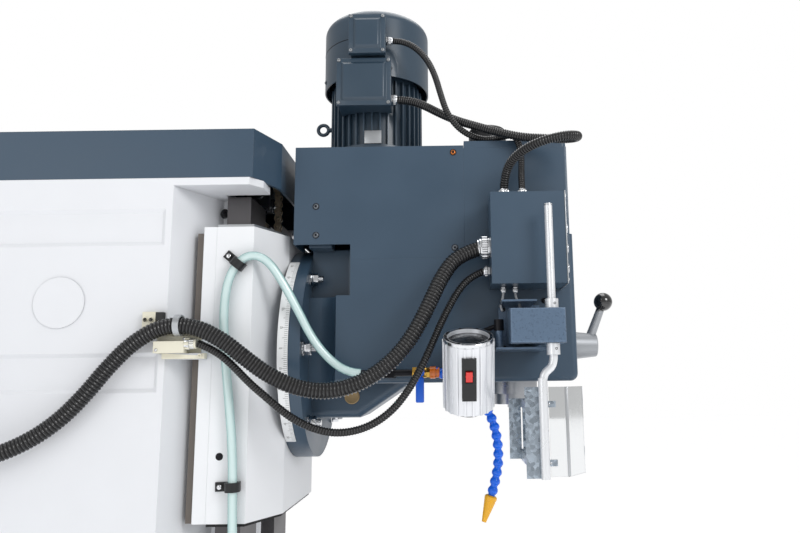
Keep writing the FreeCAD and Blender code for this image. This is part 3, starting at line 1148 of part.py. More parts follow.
def cabinet():
    """Electrical cabinet behind the column, with its door and main switch."""
    outer = box(-CAB_HALF, CAB_HALF, CAB_Y0, CAB_Y1, CAB_Z0, CAB_Z1)
    inner = box(-CAB_HALF + CAB_WALL, CAB_HALF - CAB_WALL, CAB_Y0 + CAB_WALL, CAB_Y1 + 1,
                CAB_Z0 + CAB_WALL, CAB_Z1 - CAB_WALL)
    shell = outer.cut(inner)
    rails = both(box(200, 240, COL_BACK, CAB_Y0, CAB_Z0 + 60, CAB_Z1 - 60))
    pin_x = CAB_HALF + 12
    pin_y = CAB_Y1 + 8
    hinges = []
    for z in (CAB_Z0 + 150, CAB_Z1 - 190):
        ear = box(CAB_HALF, pin_x + 8, CAB_Y1 - 30, CAB_Y1, z, z + 10)
        ear = ear.fuse(box(pin_x - PIN_R - 2, pin_x + 8, CAB_Y1 - 1, pin_y + 8, z, z + 10))
        hinges.append(ear.fuse(rod(pin_x, pin_y, z, PIN_R, 50)))
    shell = shell.fuse(rails + hinges)
    plate = box(-CAB_HALF + 40, CAB_HALF - 40, CAB_Y0 + CAB_WALL, CAB_Y0 + CAB_WALL + 12,
                CAB_Z0 + 60, CAB_Z1 - 60)
    blocks = []
    for row, z in enumerate((CAB_Z0 + 160, CAB_Z0 + 460, CAB_Z0 + 760)):
        for k in range(4):
            x = -300 + 150 * k
            blocks.append(box(x, x + 110 - 20 * row, CAB_Y0 + CAB_WALL + 12, CAB_Y0 + 95 + 10 * row, z, z + 110))
    entry = gland(-370, CAB_Y0, 1500, MAIN_R * 0.85, CAB_Y0 - 1128, V(0, -1, 0))
    save("electrical_cabinet", shell, plate, blocks, entry)
    door = box(-CAB_HALF + 2, CAB_HALF - 2, CAB_Y1 + GAP, CAB_Y1 + DOOR_T, CAB_Z0 + 4, CAB_Z1 - 4)
    for z in (CAB_Z0 + 160 + GAP, CAB_Z1 - 180 + GAP):
        knuckle = rod(pin_x, pin_y, z, PIN_R + 4, 36)
        link = box(CAB_HALF - 12, pin_x, CAB_Y1 + 4, pin_y + 4, z, z + 36)
        door = door.fuse(knuckle.fuse(link)).cut(rod(pin_x, pin_y, z - 1, PIN_R + GAP / 2, 60))
    save("cabinet_door", door)
    knob_y = CAB_Y1 + DOOR_T + GAP
    knob = rod(-300, knob_y, 1560, 32, 8, AY).fuse(box(-307, -293, knob_y + 8, knob_y + 34, 1532, 1588))
    save("main_switch", knob)


PARTS = (base, chip_tray, coolant_pump, saddle, table, table_drive, column, counterweight, lift_screw,
         head_slide, hose_clips, head_casting, degree_scale, fasteners, belt_cover, spindle,
         belt_drive, motor, control_box, glands, guard, speed_lever, lamp, coolant_tap,
         conduits, limit_switch, cabinet)


def main():
    """Build every sub-part into the parts folder."""
    os.makedirs("parts", exist_ok=True)
    for make in PARTS:
        make()


main()
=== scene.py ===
"""Looks of a bed-type vertical milling machine: finishes, hoses, chain and fittings.

Sizes and places are millimetres in the machine's own frame, apart from the studio's.
Meshes, and the lines that cords follow, are metres.
"""
from __future__ import annotations

import json
import logging
import math
from dataclasses import dataclass, field
from enum import Enum

import bmesh
import bpy
from mathutils import Matrix, Vector

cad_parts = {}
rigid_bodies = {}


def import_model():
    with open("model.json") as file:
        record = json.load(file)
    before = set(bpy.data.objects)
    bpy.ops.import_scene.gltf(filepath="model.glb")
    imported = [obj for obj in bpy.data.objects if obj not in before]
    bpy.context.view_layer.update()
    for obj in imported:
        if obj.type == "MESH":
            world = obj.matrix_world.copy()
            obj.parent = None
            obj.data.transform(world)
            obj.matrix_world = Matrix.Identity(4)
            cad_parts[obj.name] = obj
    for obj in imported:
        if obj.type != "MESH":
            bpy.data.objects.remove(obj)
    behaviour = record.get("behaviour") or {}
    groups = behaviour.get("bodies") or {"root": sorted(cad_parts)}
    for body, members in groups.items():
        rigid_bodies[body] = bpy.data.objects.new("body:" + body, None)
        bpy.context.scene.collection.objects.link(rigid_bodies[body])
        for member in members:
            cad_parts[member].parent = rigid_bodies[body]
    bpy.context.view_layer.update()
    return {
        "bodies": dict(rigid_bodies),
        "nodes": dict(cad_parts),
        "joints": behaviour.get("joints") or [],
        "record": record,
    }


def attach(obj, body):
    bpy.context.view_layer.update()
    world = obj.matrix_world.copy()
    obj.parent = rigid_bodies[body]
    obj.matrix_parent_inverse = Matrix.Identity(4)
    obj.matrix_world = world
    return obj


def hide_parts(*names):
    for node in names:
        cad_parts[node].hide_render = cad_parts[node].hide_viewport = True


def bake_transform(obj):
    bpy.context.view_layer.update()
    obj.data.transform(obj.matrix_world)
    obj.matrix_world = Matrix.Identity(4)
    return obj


LOG = logging.getLogger("machine")
MM = 0.001
Point = tuple[float, float, float]
Pair = tuple[float, float]
Colour = tuple[float, float, float, float]
Tree = bpy.types.NodeTree
Socket = bpy.types.NodeSocket


# ---- finishes -----------------------------------------------------------------------
class Grain(Enum):
    """Fine relief of a surface."""

    SMOOTH = "smooth"
    PEEL = "orange peel"
    CAST = "cast"
    HAMMER = "hammertone"
    BRUSHED = "brushed"
    SPANGLE = "spangle"


# Octaves of finer noise in each relief: sand-cast skin is rough at every scale, paint is not.
GRAIN_DETAIL = {Grain.PEEL: 1.5, Grain.CAST: 5.0, Grain.HAMMER: 1.5, Grain.BRUSHED: 2.0, Grain.SPANGLE: 1.0}


@dataclass(frozen=True)
class Finish:
    """Look of one material.

    Args:
        name: the material's common name.
        colour: sRGB hex of the clean surface.
        metallic: share of the surface that is bare metal.
        roughness: mean roughness, which drifts a little with the colour.
        grain: kind of relief.
        grain_mm: width of the relief's cells, coarser than life where the real grain
            is too fine to show.
        depth_mm: height of the relief.
        mottle: share by which the colour drifts over mottle_mm.
        edge_mm: radius that hard edges are shaded with.
        grime: share by which painted shade darkens corners and creases.
        coat: weight of a clear coat.
        clear: share of light that passes through.
        rim: sRGB hex that grazing faces turn to, as on a tinted clear tube.
        groove: sRGB hex of the painted shade in the valleys between the ribs of a ribbed tube.
    """

    name: str
    colour: str
    metallic: float = 0.0
    roughness: float = 0.45
    grain: Grain = Grain.SMOOTH
    grain_mm: float = 2.0
    depth_mm: float = 0.03
    mottle: float = 0.05
    mottle_mm: float = 70.0
    edge_mm: float = 0.8
    grime: float = 0.25
    coat: float = 0.0
    clear: float = 0.0
    rim: str = ""
    groove: str = ""


def linear(colour: str) -> Colour:
    """Turns an sRGB hex into linear RGBA.

    Args:
        colour: sRGB hex, such as "#364b5e".

    Returns:
        Red, green, blue and an alpha of 1.
    """
    parts = [int(colour[i:i + 2], 16) / 255 for i in (1, 3, 5)]
    return tuple(c / 12.92 if c <= 0.04045 else ((c + 0.055) / 1.055) ** 2.4 for c in parts) + (1.0,)


def shaded(colour: Colour, share: float) -> Colour:
    """Scales a linear colour.

    Args:
        colour: linear RGBA.
        share: factor on red, green and blue.

    Returns:
        The scaled colour, no brighter than white.
    """
    return tuple(min(1.0, c * share) for c in colour[:3]) + (1.0,)


@dataclass
class Paintshop:
    """Makes each finish's material once."""

    made: dict[str, bpy.types.Material] = field(default_factory=dict)
    coat_roughness: float = 0.08
    corner_mm: float = 30.0
    flake_dark: float = 0.55
    brush_stretch: Point = (1, 1, 0.04)

    def material(self, finish: Finish) -> bpy.types.Material:
        """Makes a finish's material at its first use.

        Args:
            finish: the finish wanted.

        Returns:
            The finish's one material.
        """
        if finish.name not in self.made:
            self.made[finish.name] = self._build(finish)
        return self.made[finish.name]

    def _build(self, finish: Finish) -> bpy.types.Material:
        """Builds a finish's nodes.

        Args:
            finish: the finish to build.

        Returns:
            A new material.
        """
        material = bpy.data.materials.new(finish.name)
        material.use_nodes = True
        tree = material.node_tree
        shader = next(n for n in tree.nodes if n.type == "BSDF_PRINCIPLED")
        shader.inputs["Metallic"].default_value = finish.metallic
        shader.inputs["Coat Weight"].default_value = finish.coat
        shader.inputs["Coat Roughness"].default_value = self.coat_roughness
        shader.inputs["Transmission Weight"].default_value = finish.clear
        place = add_node(tree, "ShaderNodeTexCoord").outputs["Object"]
        drift = self._noise(tree, place, finish.mottle_mm, 3.0)
        base = linear(finish.colour)
        low, high = shaded(base, 1 - finish.mottle), shaded(base, 1 + finish.mottle)
        colour = self._mix(tree, drift, low, high)
        roughness = self._spread(tree, drift, (0.3, 0.7),
                                 (max(0.02, finish.roughness - 0.05), finish.roughness + 0.06))
        if finish.grain is Grain.SPANGLE:
            cells = add_node(tree, "ShaderNodeTexVoronoi", {
                "Vector": place, "Scale": 1 / (finish.grain_mm * MM)})
            flake = add_node(tree, "ShaderNodeSeparateColor", {"Color": cells.outputs["Color"]})
            colour = self._mix(tree, flake.outputs["Red"], shaded(base, self.flake_dark), high)
            roughness = self._spread(tree, flake.outputs["Green"], (0.0, 1.0), (0.16, 0.5))
        if finish.rim:
            facing = add_node(tree, "ShaderNodeLayerWeight", {"Blend": 0.5})
            colour = self._mix(tree, facing.outputs["Facing"], colour, linear(finish.rim))
        # Painted shade: the valleys between the ribs turn darker; they also turn rougher and lose their coat.
        if finish.groove:
            valley = add_node(tree, "ShaderNodeAttribute", attribute_name="groove").outputs["Fac"]
            colour = self._mix(tree, valley, colour, linear(finish.groove))
            roughness = self._spread(tree, valley, (0.2, 1.0), (finish.roughness, 0.8))
            shine = self._spread(tree, valley, (0.0, 1.0), (finish.coat, 0.0))
            tree.links.new(shine, shader.inputs["Coat Weight"])
        # Painted shade: ambient occlusion darkens the colour in corners and creases, by the finish's share.
        if finish.grime > 0 and finish.clear == 0:
            corner = add_node(tree, "ShaderNodeAmbientOcclusion", {"Distance": self.corner_mm * MM},
                              samples=3)
            dark = self._spread(tree, corner.outputs["AO"], (0.1, 0.9), (1 - finish.grime, 1.0))
            tint = add_node(tree, "ShaderNodeVectorMath", {0: colour}, operation="SCALE")
            tree.links.new(dark, tint.inputs["Scale"])
            colour = tint.outputs["Vector"]
        tree.links.new(colour, shader.inputs["Base Color"])
        tree.links.new(roughness, shader.inputs["Roughness"])
        tree.links.new(self._normal(tree, place, finish), shader.inputs["Normal"])
        return material

    def _noise(self, tree: Tree, place: Socket, size_mm: float, detail: float) -> Socket:
        """Adds a noise pattern.

        Args:
            tree: the material's tree.
            place: where each point of the surface is.
            size_mm: width of the pattern's cells.
            detail: octaves of finer noise.

        Returns:
            The pattern's value.
        """
        noise = add_node(tree, "ShaderNodeTexNoise", {
            "Vector": place, "Scale": 1 / (size_mm * MM), "Detail": detail})
        return noise.outputs["Fac"]

    def _mix(self, tree: Tree, factor: Socket, low: Colour | Socket, high: Colour | Socket) -> Socket:
        """Mixes two colours.

        Args:
            tree: the material's tree.
            factor: share of the second colour.
            low: colour at a factor of 0.
            high: colour at a factor of 1.

        Returns:
            The mixed colour.
        """
        mixer = add_node(tree, "ShaderNodeMix", {"Factor": factor, 6: low, 7: high}, data_type="RGBA")
        return mixer.outputs[2]

    def _spread(self, tree: Tree, value: Socket, source: Pair, target: Pair) -> Socket:
        """Maps a value from one range to another.

        Args:
            tree: the material's tree.
            value: the value to map.
            source: range that the value has.
            target: range that the result has.

        Returns:
            The mapped value, kept within the target range.
        """
        mapped = add_node(tree, "ShaderNodeMapRange", {
            "Value": value, "From Min": source[0], "From Max": source[1],
            "To Min": target[0], "To Max": target[1]})
        return mapped.outputs["Result"]

    def _normal(self, tree: Tree, place: Socket, finish: Finish) -> Socket:
        """Rounds hard edges and lays the finish's relief over them.

        Args:
            tree: the material's tree.
            place: where each point of the surface is.
            finish: gives the edge radius and the relief.

        Returns:
            The shading normal.
        """
        if finish.edge_mm > 0:
            edge = add_node(tree, "ShaderNodeBevel", {"Radius": finish.edge_mm * MM}, samples=4)
        else:
            edge = add_node(tree, "ShaderNodeNewGeometry")
        if finish.grain is Grain.SMOOTH:
            return edge.outputs["Normal"]
        if finish.grain is Grain.BRUSHED:
            place = add_node(tree, "ShaderNodeMapping", {
                "Vector": place, "Scale": self.brush_stretch}).outputs["Vector"]
        height = self._noise(tree, place, finish.grain_mm, GRAIN_DETAIL[finish.grain])
        bump = add_node(tree, "ShaderNodeBump", {
            "Height": height, "Normal": edge.outputs["Normal"], "Distance": finish.depth_mm * MM,
            "Strength": 1.0})
        return bump.outputs["Normal"]


def add_node(tree: Tree, kind: str, values: dict | None = None, **settings) -> bpy.types.Node:
    """Adds a node, sets its options, and sets or links its inputs.

    Args:
        tree: the tree that the node joins.
        kind: the node's type.
        values: a number or a socket for each input, by name or index.
        settings: the node's own options.

    Returns:
        The new node.
    """
    node = tree.nodes.new(kind)
    for key, value in settings.items():
        setattr(node, key, value)
    for key, value in (values or {}).items():
        if isinstance(value, bpy.types.NodeSocket):
            tree.links.new(value, node.inputs[key])
        else:
            node.inputs[key].default_value = value
    return node


# Sprayed two-pack enamel on cast iron: a soft orange peel breaks up its satin shine.
ENAMEL = Finish("blue grey enamel", "#364b5e", roughness=0.40, grain=Grain.PEEL, grain_mm=2.6,
                depth_mm=0.06, mottle=0.09, mottle_mm=110, coat=0.12, edge_mm=1.6, grime=0.5)
# The motor's and pump's thinner enamel: darker and a little glossier than the castings'.
ENAMEL_DARK = Finish("dark enamel", "#2f4252", roughness=0.36, grain=Grain.PEEL, grain_mm=2.2,
                     depth_mm=0.04, mottle=0.06, coat=0.2, edge_mm=1.4)
# Hammertone enamel on die-cast alloy: metallic dimples a few millimetres wide.
HAMMER = Finish("hammertone enamel", "#5b7088", metallic=0.35, roughness=0.30, grain=Grain.HAMMER,
                grain_mm=2.4, depth_mm=0.12, mottle=0.16, mottle_mm=4, coat=0.3, edge_mm=1.6)
# Textured white paint on filled iron and sheet: matt, with a fine sandy relief.
CREAM_WHITE = Finish("textured white paint", "#e6e8ec", roughness=0.55, grain=Grain.CAST, grain_mm=2.0,
                     depth_mm=0.08, mottle=0.02, grime=0.3, edge_mm=2.0)
# White paint over hand-laid filler: broad, shallow unevenness.
PUTTY = Finish("filled casting paint", "#eef0f3", roughness=0.5, grain=Grain.CAST, grain_mm=7,
               depth_mm=0.2, mottle=0.02, grime=0.3, edge_mm=2.0)
# Hardened way, ground and oiled: dark, with long streaks up its length.
WAY_STEEL = Finish("dark ground steel", "#5a585a", metallic=0.55, roughness=0.42, grain=Grain.BRUSHED,
                   grain_mm=0.5, depth_mm=0.006, mottle=0.15)
# Ground tool steel: bright and finely streaked.
GROUND = Finish("ground steel", "#b9bbbf", metallic=1.0, roughness=0.28, grain=Grain.BRUSHED,
                grain_mm=0.6, depth_mm=0.006, mottle=0.06)
# Planed and scraped cast iron: greyer than steel, with wider streaks.
TABLE_IRON = Finish("scraped iron", "#8d8f92", metallic=0.9, roughness=0.36, grain=Grain.BRUSHED,
                    grain_mm=1.2, depth_mm=0.01, mottle=0.10)
# Nickel or chrome plate on turned parts: near a mirror.
CHROME = Finish("bright plate", "#dadcdf", metallic=1.0, roughness=0.12, mottle=0.03, edge_mm=0.4,
                grime=0.35)
# Bead-blasted, anodised aluminium: an even silver without streaks.
SATIN = Finish("satin silver", "#b4b7ba", metallic=0.85, roughness=0.36, grain=Grain.CAST, grain_mm=0.8,
               depth_mm=0.01, mottle=0.04)
# Clear-anodised extruded aluminium: pale, with fine drawn lines.
LAMP_ALLOY = Finish("anodised alloy", "#e6e8ec", metallic=0.6, roughness=0.34, grain=Grain.BRUSHED,
                    grain_mm=0.5, depth_mm=0.004, mottle=0.03)
# Moulded phenolic resin, polished: deep black under a hard shine.
GLOSS_BLACK = Finish("black ball", "#0a0a0c", roughness=0.12, mottle=0.0, coat=1.0, grime=0.0)
# Ground drive key, painted nearly white: a painted highlight where it catches the light.
KEY_HIGHLIGHT = Finish("white key", "#e9e9ea", roughness=0.4, mottle=0.02)
# Planed gib iron under old oil: dull brown grey.
DARK_STRIP = Finish("gib strip", "#6f6862", metallic=0.2, roughness=0.6, mottle=0.12)
# Tumbled zinc casting: soft grey with a slight grain.
LEVER_GREY = Finish("lever grey", "#a3a6aa", metallic=0.6, roughness=0.42, grain=Grain.CAST,
                    grain_mm=1.2, depth_mm=0.01, mottle=0.05)
# Zinc-plated screw, aged: dull blue grey.
DULL_SCREW = Finish("dull screw", "#6d7278", metallic=0.8, roughness=0.42, mottle=0.1)
# Drawn aluminium tube: pale and smooth.
BRIGHT_TUBE = Finish("bright alloy tube", "#e9ebee", metallic=0.55, roughness=0.3, mottle=0.03)
# Copper-flashed screw: one warm spot among grey ones.
COPPER = Finish("copper screw", "#b06a3c", metallic=1.0, roughness=0.25, mottle=0.1)
# Black-oxide steel: near black with a faint metal sheen.
BLACK_OXIDE = Finish("black oxide", "#15151a", metallic=0.6, roughness=0.35, mottle=0.1, edge_mm=0.4)
# Stamped steel links in yellowed grease: warm, patchy grey.
CHAIN_STEEL = Finish("oiled chain", "#c4b49c", metallic=0.45, roughness=0.3, mottle=0.2, mottle_mm=12)
# Hot-dip galvanised sheet: flat crystals, each with its own tone.
GALVANISED = Finish("galvanised sheet", "#b4c0cc", metallic=0.95, roughness=0.3, grain=Grain.SPANGLE,
                    grain_mm=7, depth_mm=0.01)
# Extruded polycarbonate sheet: clear, with almost no tint.
CLEAR_SHEET = Finish("clear polycarbonate", "#f2f4f5", roughness=0.06, mottle=0.0, clear=1.0, grime=0.0,
                     edge_mm=0.3)
# Extruded green-tinted PVC: green where it turns away, as through more of its wall, and near white face on,
# which is partly a painted highlight along the hose.
GREEN_HOSE = Finish("clear green hose", "#dff5f4", roughness=0.12, mottle=0.04, clear=0.15, grime=0.0,
                    coat=1.0, edge_mm=0.0, rim="#3f9a98")
# Smoked glass: dark, with the lamp's inside just showing.
SMOKED = Finish("lamp glass", "#3a3d42", roughness=0.05, mottle=0.0, clear=0.4, grime=0.0, coat=1.0)
# Corrugated polyamide: glossy crests, and dull valleys darkened by painted shade.
CONDUIT = Finish("black conduit", "#0e0e11", roughness=0.24, mottle=0.1, grime=0.0, coat=0.55,
                 edge_mm=0.0, groove="#020203")
# Moulded glass-filled nylon: satin with a fine grain.
BLACK_PLASTIC = Finish("black plastic", "#131417", roughness=0.42, grain=Grain.CAST, grain_mm=1.0,
                       depth_mm=0.02, mottle=0.08)
# Moulded nitrile rubber: matt and slightly uneven.
RUBBER = Finish("wiper rubber", "#101012", roughness=0.7, mottle=0.1)
# Extruded PVC cable sheath: smooth light grey.
GREY_LEAD = Finish("grey cable", "#b8babd", roughness=0.45, mottle=0.03)
# Moulded acetal beads: even blue, with painted shade darkening the joints between them.
BLUE_BEAD = Finish("blue beads", "#066bf0", roughness=0.3, mottle=0.03, coat=0.15, edge_mm=0.4, grime=0.5)
# Moulded ABS grip: a slightly deeper blue than the beads.
BLUE_PLASTIC = Finish("blue lever", "#0a5fd6", roughness=0.35, mottle=0.04)
# Moulded acetal nozzle: warm yellow with a light gloss.
YELLOW = Finish("yellow nozzle", "#fbb80a", roughness=0.34, mottle=0.03, coat=0.3)
# Push-in fitting of moulded nylon: orange, semi-gloss.
ORANGE = Finish("orange fitting", "#e8761a", roughness=0.3, mottle=0.05, coat=0.3)
# Turned brass: warm and bright.
BRASS = Finish("turned brass", "#c39a4a", metallic=1.0, roughness=0.26, mottle=0.08)
# Moulded ABS cover, aged: ivory with a slight grain.
IVORY = Finish("switch cover", "#e6e2cf", roughness=0.5, grain=Grain.CAST, grain_mm=3, depth_mm=0.06,
               mottle=0.04)
# Aluminium tape, printed and lacquered: white with a thin metal sheen.
TAPE = Finish("scale tape", "#eef0f1", metallic=0.1, roughness=0.35, mottle=0.02, edge_mm=0.2)
# Printed ink: flat black.
INK = Finish("scale ink", "#101214", roughness=0.5, mottle=0.0, grime=0.0)
# Moulded polycarbonate rocker: glossy red.
RED = Finish("red rocker", "#d8231c", roughness=0.25, mottle=0.02, coat=0.5)
# Moulded polycarbonate button: glossy green.
GREEN = Finish("green button", "#1f8f3f", roughness=0.25, mottle=0.02, coat=0.5)
# Moulded polycarbonate button: glossy yellow.
AMBER = Finish("yellow button", "#e0b51e", roughness=0.25, mottle=0.02, coat=0.5)
# Pressed core plug, oiled: patchy tan metal.
PLUG = Finish("oiled plug", "#9a8563", metallic=0.7, roughness=0.4, mottle=0.12, mottle_mm=8)

NODE_FINISH: dict[str, Finish] = {
    "base": CREAM_WHITE, "chip_tray": ENAMEL, "coolant_pump": ENAMEL_DARK, "column": CREAM_WHITE,
    "column_ways": WAY_STEEL, "column_cap": ENAMEL, "counterweight_chain": CHAIN_STEEL, "lift_mounts": GROUND,
    "limit_switch": IVORY, "electrical_cabinet": CREAM_WHITE, "counterweight": ENAMEL_DARK,
    "front_sprocket": GROUND, "rear_sprocket": GROUND, "lift_screw": GROUND, "head_slide": PUTTY,
    "keeper_plates": PUTTY, "way_wipers": RUBBER, "hose_clips": BLACK_PLASTIC, "feed_hose": GREEN_HOSE,
    "head_casting": ENAMEL, "degree_scale": TAPE, "head_fasteners": CHROME, "belt_cover": ENAMEL,
    "quill_sleeve": GROUND, "drive_belt": RUBBER, "motor_body": ENAMEL_DARK, "motor_cowl": ENAMEL_DARK,
    "terminal_boxes": ENAMEL_DARK, "control_box": ENAMEL, "cable_glands": BLACK_PLASTIC,
    "guard_switch": HAMMER, "coolant_pipe": BLACK_OXIDE, "coolant_hose": BLUE_BEAD, "coolant_nozzle": YELLOW,
    "main_conduit": CONDUIT, "small_conduit": CONDUIT, "motor_conduit_a": CONDUIT,
    "motor_conduit_b": CONDUIT, "guard_cables": GREY_LEAD, "spindle": GROUND, "motor_shaft": GROUND,
    "speed_lever": LEVER_GREY, "push_button_1": CHROME, "push_button_2": CHROME, "push_button_3": CHROME,
    "guard_post": BRIGHT_TUBE, "guard_frame": GALVANISED, "guard_window": CLEAR_SHEET,
    "lamp_arm": BLACK_OXIDE,
    "lamp_housing": LAMP_ALLOY, "lamp_lens": SMOKED, "lamp_fittings": BLACK_PLASTIC, "lamp_rocker": RED,
    "tap_lever": BLUE_PLASTIC, "saddle": CREAM_WHITE, "table": TABLE_IRON, "table_screw": GROUND,
    "cross_screw": GROUND, "cabinet_door": CREAM_WHITE, "main_switch": BLACK_PLASTIC,
}


@dataclass(frozen=True)
class Zone:
    """Faces of one CAD node between two corners, in mm, with a finish of their own."""

    node: str
    low: Point
    high: Point
    finish: Finish

    def holds(self, centre: Vector) -> bool:
        """Tells whether a face belongs to the zone.

        Args:
            centre: the face's centre in mm.

        Returns:
            True between the two corners.
        """
        return all(a <= c <= b for a, c, b in zip(self.low, centre, self.high))


ZONES = [
    Zone("limit_switch", (-331, 663, 1703.9), (-300.9, 725, 1738.2), IVORY),
    Zone("limit_switch", (-300.9, 630, 1690), (-260, 713, 1770), CREAM_WHITE),
    Zone("limit_switch", (-356, 668, 1734), (-301, 682, 1781), SATIN),
    Zone("limit_switch", (-313, 714, 1769), (-299, 729.95, 1787), BLACK_PLASTIC),
    Zone("limit_switch", (-345, 640, 1700), (-300, 663.9, 1703.8), GROUND),
    Zone("keeper_plates", (-251, 659.2, 1300), (-221, 676, 2000), DARK_STRIP),
    Zone("keeper_plates", (221, 659.2, 1300), (251, 676, 2000), DARK_STRIP),
    Zone("way_wipers", (-270, 490, 1969.9), (270, 700, 1990), SATIN),
    Zone("push_button_1", (-260, -108.2, 1940), (-220, -107.9, 1980), GREEN),
    Zone("push_button_2", (-260, -108.2, 1897), (-220, -107.9, 1937), AMBER),
    Zone("push_button_3", (-260, -108.2, 1854), (-220, -107.9, 1894), RED),
    Zone("coolant_pipe", (-260, 187, 1640), (-200, 226, 1690), BRASS),
    Zone("coolant_pipe", (-260, 160, 1640), (-200, 188.1, 1690), ORANGE),
    Zone("head_casting", (-108, 348, 1592), (-105.05, 386, 1632), PLUG),
    Zone("head_casting", (-49, -4, 2176.2), (49, 94, 2272), BLACK_PLASTIC),
    Zone("speed_lever", (-82, -237, 1800), (-38, -193, 1844), GLOSS_BLACK),
    # The spindle's drive key carries a painted highlight.
    Zone("spindle", (-50, -10, 1570), (50, 10, 1587.9), KEY_HIGHLIGHT),
    Zone("control_box", (-290, -110, 1838), (-190, -96.1, 2029), SATIN),
    Zone("table_screw", (-900, -130, 630), (-700, 130, 900), CHROME),
    Zone("table_screw", (700, -130, 630), (900, 130, 900), CHROME),
    Zone("cross_screw", (-130, -700, 480), (130, -560, 740), CHROME),
    Zone("electrical_cabinet", (-400, 1163, 800), (400, 1300, 1720), GROUND),
]


# ---- making pieces --------------------------------------------------------------------
def spoke(degrees: float, radius: float = 1.0) -> Vector:
    """Points outwards from an upright axis.

    Args:
        degrees: turn about the axis, from +X.
        radius: length of the vector.

    Returns:
        A level vector.
    """
    angle = math.radians(degrees)
    return Vector((radius * math.cos(angle), radius * math.sin(angle), 0))


@dataclass
class Piece:
    """One mesh piece, gathered from turned and cut parts of several finishes."""

    name: str
    shop: Paintshop
    mesh: bmesh.types.BMesh = field(default_factory=bmesh.new)
    finishes: list[Finish] = field(default_factory=list)

    def _slot(self, finish: Finish) -> int:
        """Finds a finish's material slot, and adds it at its first use."""
        if finish not in self.finishes:
            self.finishes.append(finish)
        return self.finishes.index(finish)

    def turned(self, at: Point, axis: Point, profile: list[Pair], finish: Finish, steps: int = 40) -> "Piece":
        """Adds a turned part.

        Args:
            at: the axis' start.
            axis: direction of the axis.
            profile: (radius, height) pairs along the axis.
            finish: the part's finish.
            steps: flats round the axis.

        Returns:
            This piece.
        """
        turn = Vector(axis).to_track_quat("Z", "X").to_matrix()
        slot = self._slot(finish)
        rings = []
        for radius, height in profile:
            ring = []
            for k in range(steps if radius > 0 else 1):
                angle = 2 * math.pi * k / steps
                local = Vector((radius * math.cos(angle), radius * math.sin(angle), height))
                ring.append(self.mesh.verts.new((Vector(at) + turn @ local) * MM))
            rings.append(ring)
        for low, high in zip(rings, rings[1:]):
            for k in range(steps):
                corners = [low[k % len(low)], low[(k + 1) % len(low)],
                           high[(k + 1) % len(high)], high[k % len(high)]]
                unique = list(dict.fromkeys(corners))
                if len(unique) > 2:
                    self.mesh.faces.new(unique).material_index = slot
        for ring, flip in ((rings[0], True), (rings[-1], False)):
            if len(ring) > 2:
                self.mesh.faces.new(list(reversed(ring)) if flip else ring).material_index = slot
        return self

    def slab(self, start: list[Vector], end: list[Vector], finish: Finish, edge: float) -> "Piece":
        """Adds a solid between two outlines with as many corners.

        Args:
            start: corners of the first outline.
            end: corners of the second outline, in the same order.
            finish: the part's finish.
            edge: radius of its edges, or 0 to leave them sharp.

        Returns:
            This piece.
        """
        slot = self._slot(finish)
        first = [self.mesh.verts.new(corner * MM) for corner in start]
        second = [self.mesh.verts.new(corner * MM) for corner in end]
        faces = [self.mesh.faces.new(list(reversed(first))), self.mesh.faces.new(second)]
        for k in range(len(first)):
            j = (k + 1) % len(first)
            faces.append(self.mesh.faces.new([first[k], first[j], second[j], second[k]]))
        for face in faces:
            face.material_index = slot
        if edge > 0:
            edges = list(dict.fromkeys(e for f in faces for e in f.edges))
            made = bmesh.ops.bevel(self.mesh, geom=edges, offset=edge * MM, segments=2, affect="EDGES",
                                   profile=0.5, clamp_overlap=True)
            for face in made["faces"]:
                face.material_index = slot
        return self

    def cut(self, outline: list[Pair], at: Point, across: Point, up: Point, thick: float, finish: Finish,
            edge: float = 0.0) -> "Piece":
        """Adds a flat part.

        Args:
            outline: corners in the plane of the two directions.
            at: where the outline's zero is.
            across: the outline's first direction.
            up: the outline's second direction.
            thick: thickness, towards across x up.
            finish: the part's finish.
            edge: radius of its edges.

        Returns:
            This piece.
        """
        a, b = Vector(across).normalized(), Vector(up).normalized()
        deep = a.cross(b) * thick
        start = [Vector(at) + a * u + b * v for u, v in outline]
        return self.slab(start, [corner + deep for corner in start], finish, edge)

    def block(self, low: Point, high: Point, finish: Finish, edge: float = 0.6) -> "Piece":
        """Adds a block.

        Args:
            low: lowest corner.
            high: highest corner.
            finish: the block's finish.
            edge: radius of its edges.

        Returns:
            This piece.
        """
        (x0, y0, z0), (x1, y1, z1) = low, high
        outline = [(0, 0), (x1 - x0, 0), (x1 - x0, y1 - y0), (0, y1 - y0)]
        return self.cut(outline, low, (1, 0, 0), (0, 1, 0), z1 - z0, finish, edge)

    def hexagon(self, at: Point, axis: Point, width: float, height: float, finish: Finish) -> "Piece":
        """Adds a hexagon nut or head with its edges broken.

        Args:
            at: centre of its seat.
            axis: direction that it stands in.
            width: size across its flats.
            height: how far it stands.
            finish: the nut's finish.

        Returns:
            This piece.
        """
        turn = Vector(axis).to_track_quat("Z", "X").to_matrix()
        outline = [tuple(spoke(60 * k, width / math.sqrt(3)))[:2] for k in range(6)]
        return self.cut(outline, at, turn.col[0], turn.col[1], height, finish, height * 0.07)

    def cap_screw(self, at: Point, axis: Point, r: float, finish: Finish = BLACK_OXIDE) -> "Piece":
        """Adds a domed screw with its socket.

        Args:
            at: centre of its seat.
            axis: direction that it stands in.
            r: radius of its head.
            finish: the screw's finish.

        Returns:
            This piece.
        """
        dome = [(1, 0), (0.98, 0.35), (0.75, 0.72), (0.5, 0.8), (0.48, 0.3)]
        return self.turned(at, axis, [(r * u, r * v) for u, v in dome], finish, 24)

